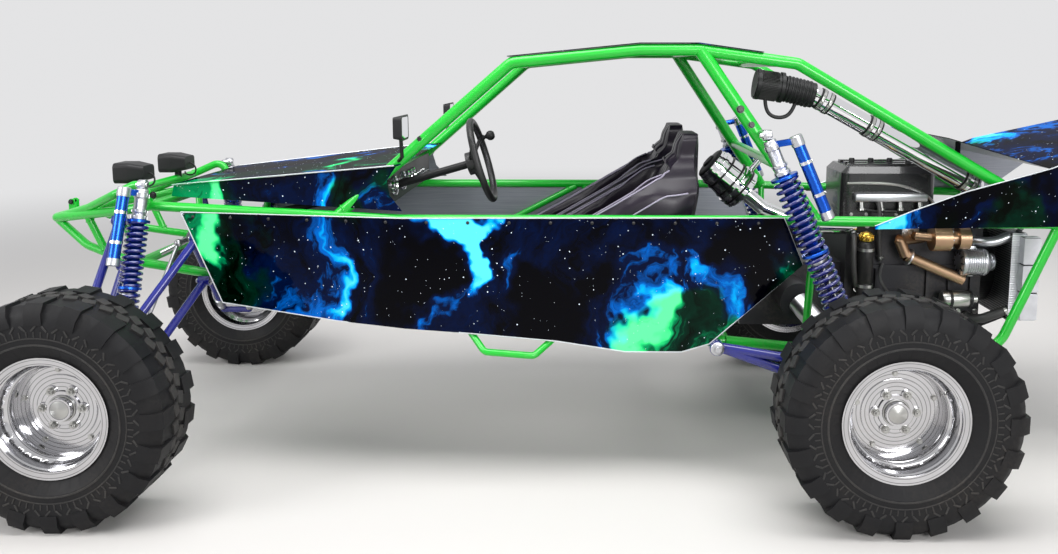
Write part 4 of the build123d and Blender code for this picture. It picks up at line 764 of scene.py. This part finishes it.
# Cloth under pressure and without gravity, as foam fills a sewn cover; the underside hardly moves.
starts = [vert.co.copy() for vert in shape.verts]
cloth = dict(quality=4, mass=0.3, use_pressure=True, uniform_pressure_force=4.0, tension_stiffness=20.0,
             compression_stiffness=20.0, effector_weights=dict(gravity=0.0))
filled = evaluated(as_data(shape, "skin"), "CLOTH", 20, settings=cloth, point_cache=dict(frame_end=20))
shape = bmesh.new()
shape.from_mesh(filled)
for vert, start in zip(shape.verts, starts):
    part = min(1.0, max(0.0, (start.z - BASE_FROM) / (BASE_TO - BASE_FROM)))
    cap = SEAT_REST + (SEAT_SWELL - SEAT_REST) * part
    move = vert.co - start
    if move.length > cap:
        vert.co = start + move * (cap / move.length)
for _ in range(2):
    bmesh.ops.smooth_vert(shape, verts=shape.verts, factor=0.5, use_axis_x=True, use_axis_y=True,
                          use_axis_z=True)
cover, piping = bmesh.new(), bmesh.new()
cover.from_mesh(evaluated(as_data(shape, "cover"), "SUBSURF", levels=1, render_levels=1))
cover.normal_update()
for vert in cover.verts:
    off = vert.co.y - SEAT_MIDDLE
    front = abs(off) < PLEAT_HALF and vert.normal.x < 0.2 and vert.co.z > 0.74
    if front or vert.co.z > 1.235:
        near = min(abs(off - pleat) for pleat in PLEATS)
        vert.co -= vert.normal * PLEAT_DEPTH * math.exp(-(near / PLEAT_WIDTH) ** 2)
cover_tree = BVHTree.FromBMesh(cover)
for off, line in PIPING:
    route = []
    for (x0, z0), (x1, z1) in zip(line[:-1], line[1:]):
        for step in range(6):
            part = step / 6
            at = Vector((x0 + (x1 - x0) * part, SEAT_MIDDLE + off, z0 + (z1 - z0) * part))
            spot, normal, _, _ = cover_tree.find_nearest(at)
            route.append(spot + normal * 0.001)
    pipe(piping, route, 0.0036, smooth=True)
vinyl = coated("seat_vinyl", (0.014, 0.008, 0.019), (0.006, 0.004, 0.009), 0.34, dust=0.05,
               peel=(420.0, 0.35), blotch=9.0, Specular_IOR_Level=0.35)
# Pale vinyl: on the seat piping a painted highlight along the bolster edges; the grip stitches use it as pale
# thread.
pale_thread_and_piping_highlight = coated("pale_thread_and_piping_highlight", (0.34, 0.31, 0.4), (0.2, 0.18, 0.25), 0.4, dust=0.2)
for piece, finish, mesh in (("seat_cover_", vinyl, cover), ("seat_piping_", pale_thread_and_piping_highlight, piping)):
    for side_name, node, flip in (("left", "seat_left", 1), ("right", "seat_right", -1)):
        copy = mesh.copy()
        bmesh.ops.transform(copy, matrix=Matrix.Diagonal((1, flip, 1, 1)), verts=copy.verts)
        made = add_piece(piece + side_name, copy, finish, corner=80)
        if mesh is cover:
            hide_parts(node)
            finished.add(node)
cover.free()
piping.free()

# Steering wheel and dash. A thick grip wrapped in black leather with a sewn seam inside, flat spokes with a
# horn cap held by screws, and a spinner knob; behind it the dash carries gauges and switches.
WHEEL_AT, WHEEL_TILT = Vector((-0.43, -0.28, 1.21)), math.radians(16)
WHEEL_AXIS = Vector((math.cos(WHEEL_TILT), 0, math.sin(WHEEL_TILT)))
DASH_FACE = -0.7712
GAUGES = [(-0.365, 0.036), (-0.195, 0.036), (-0.1, 0.026), (-0.035, 0.026), (0.03, 0.026)]
GAUGE_Z, SWITCH_Z, SWITCH_FROM, SWITCH_PITCH, SWITCH_COUNT = 1.118, 1.11, 0.11, 0.045, 5
matt_black = coated("matt_black_plastic", (0.012, 0.012, 0.013), (0.006, 0.006, 0.007), 0.45, dust=0.2,
                    Specular_IOR_Level=0.3)
leather = coated("grip_leather", (0.018, 0.017, 0.018), (0.009, 0.009, 0.01), 0.42, dust=0.05,
                 peel=(700.0, 0.5))
finish_node("steering_wheel", leather)
finish_node("dash", matt_black)
upright = along(WHEEL_AT, WHEEL_AT + WHEEL_AXIS)
trim, wrap, knob, gauges, faces = (bmesh.new() for _ in range(5))
spun(trim, [(0, -0.018), (0.03, -0.02), (0.036, -0.024), (0.04, -0.03), (0.04, -0.036)], upright, 36)
for turn in ring(6):
    bolt(trim, upright @ (turn @ Vector((0.043, 0, -0.028))), WHEEL_AXIS, 0.007)
add_piece("horn_cap", trim, chrome, "steering_wheel")
for turn in ring(96):
    block(wrap, (0.0016, 0.005, 0.0016), upright @ turn @ moved(0.1478, 0, 0) @ Matrix.Rotation(0.6, 4, "X"))
add_piece("grip_stitches", wrap, pale_thread_and_piping_highlight, "steering_wheel")
spun(knob, [(0, 0.052), (0.012, 0.05), (0.019, 0.042), (0.021, 0.033), (0.018, 0.023), (0.01, 0.016),
            (0.007, 0.01), (0.012, 0.004), (0.012, 0)], upright @ ring(12)[1] @ moved(0.161, 0, 0.01), 28)
add_piece("spinner_knob", knob, matt_black, "steering_wheel")
for y, radius in GAUGES:
    place = along((DASH_FACE, y, GAUGE_Z), (0, y, GAUGE_Z))
    spun(gauges, [(radius - 0.004, 0.004), (radius - 0.002, 0.011), (radius, 0.012), (radius + 0.003, 0.009),
                  (radius + 0.004, 0)], place, 36)
    spun(faces, [(0, 0.004), (radius - 0.004, 0.004)], place, 36)
for step in range(SWITCH_COUNT):
    y = SWITCH_FROM + step * SWITCH_PITCH
    spun(gauges, [(0, 0.026), (0.0028, 0.026), (0.0036, 0.022), (0.0024, 0.008), (0.007, 0.006), (0.009, 0)],
         along((DASH_FACE, y, SWITCH_Z), (0, y, SWITCH_Z)), 14)
add_piece("gauge_bezels", gauges, chrome)
add_piece("gauge_faces", faces, matt_black)

# Headlamps and mirrors. Black rounded housings on feet, with a fluted lens over a bright reflector, and
# mirror glass set in its shell.
lamp_glass, tree, surface = new_material("lamp_glass", Roughness=0.05, IOR=1.5, Transmission_Weight=0.9,
                                         Base_Color=(0.95, 0.97, 1.0, 1))
flutes = shader(tree, "TexWave", out="Fac", Vector=shader(tree, "TexCoord", out="Object"), Scale=60.0,
                bands_direction="Y")
fill(surface, Normal=shader(tree, "Bump", Height=flutes, Distance=0.0008, Strength=0.8))
mirror_metal = coated("mirror_glass", (0.88, 0.9, 0.92), (0.84, 0.86, 0.88), 0.02, 1.0, dust=0.05,
                      peel=(10.0, 0.0))
lenses, bowls, glass, cable = (bmesh.new() for _ in range(4))
block(lenses, (0.004, 0.112, 0.066), moved(-1.935, -0.2, 1.15), 0.0015, 2)
spun(bowls, [(0.008, 0.001), (0.018, 0.0012), (0.03, 0.0035), (0.0325, 0.0055), (0.033, 0.001)],
     along((-1.9272, -0.2, 1.15), (-3, -0.2, 1.15)), 36)
block(glass, (0.003, 0.116, 0.078), moved(-0.6772, -0.6, 1.362), 0.001)
pipe(cable, [(-1.824, 0.2, 1.15), (-1.8, 0.2, 1.142), (-1.795, 0.205, 1.105), (-1.826, 0.215, 1.088),
             (-1.862, 0.235, 1.094), (-1.872, 0.26, 1.1)], 0.0035, smooth=True)
for name, mesh, finish in (("lamp_lenses", lenses, lamp_glass), ("lamp_reflectors", bowls, chrome),
                           ("mirror_glass", glass, mirror_metal), ("lamp_cables", cable, matt_black)):
    add_piece(name, mesh, finish, both_sides=True)

# Engine bay. The block stands under its cover in oily cast alloy, with an alternator, a canister filter, a
# belt over the pulleys, a filler with a gilt cap, wiring in loom, and preformed hoses held by clamps.
ENGINE_OUT, ENGINE_REAR = -0.262, 1.6485
HOSES = [
    # the hose's points, radius
    ([(1.575, -0.2, 0.87), (1.59, -0.245, 0.872), (1.651, -0.262, 0.877), (1.7, -0.262, 0.9),
      (1.721, -0.262, 0.905)], 0.021),
    ([(1.56, -0.205, 0.56), (1.585, -0.262, 0.548), (1.66, -0.275, 0.58), (1.712, -0.275, 0.6)], 0.019),
    ([(1.09, -0.215, 0.905), (1.08, -0.262, 0.89), (1.076, -0.27, 0.8), (1.09, -0.262, 0.7),
      (1.115, -0.222, 0.66)], 0.011),
    ([(1.2, -0.15, 1.03), (1.195, -0.2, 1.02), (1.19, -0.232, 0.96), (1.186, -0.238, 0.86),
      (1.2, -0.222, 0.79)], 0.009),
]
BREATHER = [(1.07, -0.158, 1.103), (1.19, -0.16, 1.106), (1.308, -0.158, 1.094), (1.413, -0.156, 1.052),
            (1.452, -0.16, 0.985), (1.462, -0.215, 0.94)]
LOOMS = [
    [(1.12, -0.154, 1.0), (1.18, -0.172, 0.985), (1.26, -0.176, 0.99), (1.33, -0.17, 0.975),
     (1.4, -0.166, 0.985), (1.44, -0.155, 0.995)],
    [(1.24, -0.288, 0.64), (1.2, -0.3, 0.69), (1.185, -0.25, 0.735), (1.21, -0.226, 0.78)],
]
PULLEYS = [
    # y, z, belt's radius, first and last angle of the belt on it, radius of the pulley's face
    (0.0, 0.6, 0.076, 200, 340, 0.063),
    (0.11, 0.8, 0.061, -20, 100, 0.048),
    (-0.12, 0.73, 0.046, 100, 200, 0.033),
]
engine_dark = coated("oily_casting", (0.045, 0.045, 0.05), (0.014, 0.014, 0.016), 0.42, 0.5, dust=0.25,
                     peel=(90.0, 0.6), Specular_IOR_Level=0.3)
gilt_metal = coated("gilt_cap", (0.95, 0.62, 0.12), (0.7, 0.42, 0.06), 0.25, 1.0, dust=0.1)
hose_rubber = coated("hose_rubber", (0.035, 0.035, 0.036), (0.02, 0.02, 0.02), 0.5, peel=(220.0, 0.3))
finish_node("engine_cover", coated("satin_cover", (0.022, 0.022, 0.024), (0.01, 0.01, 0.011), 0.26, dust=0.2,
                                   Coat_Weight=0.3))
castings, bright, dark, gilt, rubber = (bmesh.new() for _ in range(5))
alternator = along((1.505, ENGINE_OUT, 0.795), (2, ENGINE_OUT, 0.795))
profile = [(0, 0), (0.046, 0), (0.054, 0.006), (0.056, 0.014)]
for step in range(9):
    profile += [(0.056, 0.016 + step * 0.009), (0.053, 0.019 + step * 0.009), (0.053, 0.022 + step * 0.009)]
profile += [(0.056, 0.1), (0.05, 0.11), (0.02, 0.112), (0.02, 0.12), (0.034, 0.121), (0.036, 0.124),
            (0.028, 0.129), (0.036, 0.134), (0.034, 0.137), (0, 0.137)]
spun(castings, profile, alternator, 40)
for turn in ring(10):
    block(dark, (0.018, 0.006, 0.01), alternator @ turn @ moved(0.042, 0, 0.001), 0.001)
block(castings, (0.03, 0.07, 0.02), moved(1.56, -0.226, 0.85), 0.004, 2)
block(castings, (0.024, 0.06, 0.018), moved(1.56, -0.226, 0.742), 0.004, 2)
filler = along((1.128, ENGINE_OUT, 0.64), (1.128, ENGINE_OUT, 2))
spun(dark, [(0, 0), (0.026, 0), (0.031, 0.006), (0.031, 0.06), (0.028, 0.064), (0.028, 0.07), (0.031, 0.074),
            (0.031, 0.225), (0.026, 0.236), (0.02, 0.24), (0, 0.24)], filler)
spun(gilt, [(0, 0.279), (0.018, 0.278), (0.025, 0.272), (0.0275, 0.262), (0.0275, 0.246), (0.024, 0.241),
            (0, 0.241)], filler, 36)
for turn in ring(18):
    block(gilt, (0.003, 0.004, 0.02), filler @ turn @ moved(0.0275, 0, 0.255), 0.0008)
for z in (0.69, 0.84):
    collar(bright, 0.031, 0.0335, 0, 0.012, moved(1.128, ENGINE_OUT, z))
    block(bright, (0.024, 0.03, 0.01), moved(1.128, -0.226, z + 0.006), 0.002)
spun(bright, [(0, 0), (0.014, 0), (0.03, 0.004), (0.034, 0.012), (0.034, 0.118), (0.03, 0.126), (0.016, 0.13),
              (0.016, 0.146), (0, 0.146)], along((1.44, ENGINE_OUT, 0.64), (2, ENGINE_OUT, 0.64)))
for x in (1.47, 1.55):
    collar(dark, 0.034, 0.0365, 0, 0.012, along((x, ENGINE_OUT, 0.64), (2, ENGINE_OUT, 0.64)))
    block(dark, (0.012, 0.036, 0.016), moved(x + 0.006, -0.228, 0.655), 0.002)
for x in (1.075, 1.145, 1.245, 1.345, 1.445, 1.535, 1.605):
    for z in (0.575, 0.935):
        for way in (-1, 1):
            bolt(bright, (x, way * 0.21, z), (0, way, 0), 0.018)
for step in range(6):
    bolt(bright, (1.095 + step * 0.062, -0.15, 0.972), (0, -1, 0), 0.012)
block(castings, (0.3, 0.034, 0.036), moved(1.25, -0.165, 1.045), 0.008, 2)
for step in range(4):
    x = 1.12 + step * 0.08
    spun(dark, [(0, 0.03), (0.01, 0.029), (0.012, 0.025), (0.012, 0.012), (0.017, 0.01), (0.018, 0)],
         moved(x, -0.04, 1.1685), 20)
    block(bright, (0.04, 0.014, 0.004), moved(x, -0.04, 1.1712), 0.001)
    spun(bright, [(0.008, 0), (0.01, 0.002), (0.01, 0.03), (0.014, 0.032), (0.014, 0.042), (0, 0.044)],
         along((x + 0.01, -0.168, 1.03), (x + 0.01, -0.2, 0.94)), 18)
belt = []
for y, z, radius, first, last, face in PULLEYS:
    for step in range(8):
        turn = math.radians(first + (last - first) * step / 7)
        belt.append((ENGINE_REAR - 0.024, y + radius * math.cos(turn), z + radius * math.sin(turn)))
    for step in range(5):
        turn = math.tau * step / 5
        bolt(bright, (ENGINE_REAR - 0.0005, y + face / 2 * math.cos(turn), z + face / 2 * math.sin(turn)),
             (1, 0, 0), 0.01)
pipe(dark, belt + belt[:1], 0.006, capped=False)
for points, radius in HOSES:
    pipe(castings if points is HOSES[0][0] else rubber, points, radius, 3, smooth=True)
    for start, following in ((points[0], points[1]), (points[-1], points[-2])):
        clamp = along(start, following)
        collar(bright, radius, radius + 0.0022, 0.01, 0.022, clamp, 28)
        block(bright, (0.01, 0.014, 0.01), clamp @ moved(radius + 0.003, 0, 0.016), 0.001)
pipe(bright, BREATHER, 0.0065, 2, smooth=True)
for points in LOOMS:
    pipe(rubber, points, 0.0065, smooth=True)
for name, mesh, finish in (("engine_castings", castings, bare_aluminium),
                           ("engine_bright_parts", bright, zinc), ("engine_dark_parts", dark, matt_black),
                           ("filler_cap", gilt, gilt_metal), ("hoses_and_looms", rubber, hose_rubber)):
    add_piece(name, mesh, finish)

# Intake. A polished pipe from the filter over the engine, joined by ribbed rubber with band clamps; the
# filter is pleated black gauze between moulded ends, and a chrome canister stands behind the seats.
PIPE_START, PIPE_TOP, PIPE_END = (0.76, -0.3, 1.5), (0.886, -0.3, 1.469), (1.53, -0.3, 1.114)
BELLOWS_FOLDS, PLEAT_COUNT = 7, 60
CANISTER_AXIS, CANISTER = Vector((0.76, 0, -0.65)), Vector((0.57, -0.2, 1.13))
filter_gauze = coated("filter_gauze", (0.035, 0.034, 0.034), (0.015, 0.015, 0.015), 0.7, dust=0.3,
                      peel=(900.0, 0.6))
intake_rubber, bands, pleats, end_cap, stripes = (bmesh.new() for _ in range(5))
length = span(PIPE_START, PIPE_TOP)
profile = [(0.041, 0.004), (0.0495, 0.006)]
for step in range(BELLOWS_FOLDS):
    low = 0.012 + step * (length - 0.028) / BELLOWS_FOLDS
    profile += [(0.0495, low), (0.053, low + 0.003), (0.053, low + 0.008), (0.0495, low + 0.011)]
profile += [(0.0495, length - 0.004), (0.041, length - 0.002)]
spun(intake_rubber, profile, along(PIPE_START, PIPE_TOP), 44)
for part in (0.06, 0.36, 0.96):
    at = share(PIPE_TOP, PIPE_END, part)
    line = along(at, at + (Vector(PIPE_END) - Vector(PIPE_TOP)))
    spun(intake_rubber, [(0.0405, -0.03), (0.0435, -0.029), (0.0435, 0.029), (0.0405, 0.03)], line, 40)
    for low in (-0.022, 0.01):
        collar(bands, 0.0435, 0.0452, low, low + 0.012, line, 40)
        block(bands, (0.012, 0.022, 0.012), line @ moved(-0.047, 0, low + 0.006), 0.002)
for turn in ring(PLEAT_COUNT):
    line = along((0.746, -0.3, 1.5018), (0.65, -0.3, 1.516)) @ turn
    block(pleats, (0.006, 0.003, 0.074), line @ moved(0.0555, 0, 0.046), 0.0008)
pipe(intake_rubber, [(0.69, -0.318, 1.456), (0.69, -0.33, 1.415), (0.72, -0.335, 1.385), (0.77, -0.33, 1.385),
                     (0.8, -0.322, 1.415), (0.812, -0.312, 1.448)], 0.0075, smooth=True)
spun(end_cap, [(0.069, 0), (0.067, 0.006), (0.06, 0.01), (0.03, 0.012), (0.026, 0.02), (0, 0.021)],
     along(CANISTER - CANISTER_AXIS * 0.093, CANISTER - CANISTER_AXIS * 0.2), 44)
for part, radius in ((-0.035, 0.0795), (0.015, 0.0845), (0.062, 0.0885)):
    collar(stripes, radius - 0.002, radius + 0.0005, -0.004, 0.004,
           along(CANISTER + CANISTER_AXIS * part, CANISTER + CANISTER_AXIS * (part + 0.1)), 48)
for name, mesh, finish in (("intake_rubber", intake_rubber, matt_black), ("intake_bands", bands, zinc),
                           ("filter_pleats", pleats, filter_gauze), ("canister_cap", end_cap, matt_black),
                           ("canister_bands", stripes, dark_bolt)):
    add_piece(name, mesh, finish)
finish_node("intake_pipe", chrome)
finish_node("canister", chrome)

# Exhaust. Header stubs, a turbine housing and a bent pipe of bare steel that has turned tan with heat, held
# by studs at its flanges.
TURBINE = along((1.445, -0.3, 0.9), (2, -0.3, 0.9))
machined = coated("machined_steel", (0.6, 0.6, 0.62), (0.45, 0.45, 0.48), metallic=1.0)
tan_steel = coated("heated_steel", (0.5, 0.34, 0.22), (0.32, 0.2, 0.12), 0.35, 1.0)
studs = bmesh.new()
for x in (1.32, 1.5):
    block(studs, (0.07, 0.012, 0.052), moved(x, -0.2165, 0.905), 0.003, 2)
    for way in (-1, 1):
        bolt(studs, (x + way * 0.026, -0.2225, 0.905), (0, -1, 0), 0.013)
for turn in ring(8):
    bolt(studs, TURBINE @ turn @ Vector((0.046, 0, 0.0005)), (1, 0, 0), 0.009)
spun(studs, [(0.0225, 0), (0.035, 0.001), (0.035, 0.008), (0.0225, 0.009)],
     along((1.3, -0.262, 0.8158), (1.526, -0.262, 0.72)))
add_piece("exhaust_flanges", studs, machined)

# Radiator. Drawn fins between side tanks of bright alloy, with a black fan and shroud towards the engine.
SHROUD_X, CORE_HALF = 1.6995, 0.299
material, tree, surface = new_material("radiator_alloy", Metallic=0.9)
place = shader(tree, "TexCoord", out="Object")
split = shader(tree, "SeparateXYZ", {0: place}).node.outputs
fan_zone = worked(tree, "LESS_THAN", split["X"], SHROUD_X)
core_zone = worked(tree, "LESS_THAN", worked(tree, "ABSOLUTE", split["Y"]), CORE_HALF)
cloud = noise(tree, place, 30.0, 5.0)
fins = shader(tree, "TexWave", out="Fac", Vector=place, Scale=170.0, Distortion=1.2, Detail=1.0,
              bands_direction="Y")
rows = shader(tree, "TexWave", out="Fac", Vector=place, Scale=32.0, bands_direction="Z")
lattice = worked(tree, "MULTIPLY", fins, rows)
# Near black between the fins and between the rows: painted shade in the gaps of the core.
fins_and_gap_shade = blended(tree, lattice, (0.01, 0.01, 0.012, 1), (0.34, 0.35, 0.37, 1))
tank_tone = blended(tree, cloud, (0.50, 0.51, 0.54, 1), (0.70, 0.71, 0.74, 1))
tone = blended(tree, core_zone, tank_tone, fins_and_gap_shade)
fill(surface, Base_Color=blended(tree, fan_zone, tone, (0.012, 0.012, 0.013, 1)),
     Roughness=ranged(tree, cloud, to_low=0.25, to_high=0.5),
     Normal=shader(tree, "Bump", Height=lattice, Distance=0.0015, Strength=0.6))
finish_node("radiator", material)
tank_trim = bmesh.new()
for z in (0.575, 0.683, 0.797, 0.905):
    block(tank_trim, (0.06, 0.042, 0.005), moved(1.764, -0.3175, z), 0.0015)
add_piece("tank_trim", tank_trim, matt_black, both_sides=True)

# Plain finishes of the CAD nodes that have none of their own yet.
BY_SLOT = {
    "arm_blue": arm_paint, "black_plastic": matt_black, "black_steel": matt_black, "lamp_black": matt_black,
    "engine_dark": engine_dark, "machined_steel": machined, "tan_steel": tan_steel,
}
for row in frame["record"]["subparts"]:
    if row["node"] not in finished:
        finish_node(row["node"], BY_SLOT[row["material_slot"]])
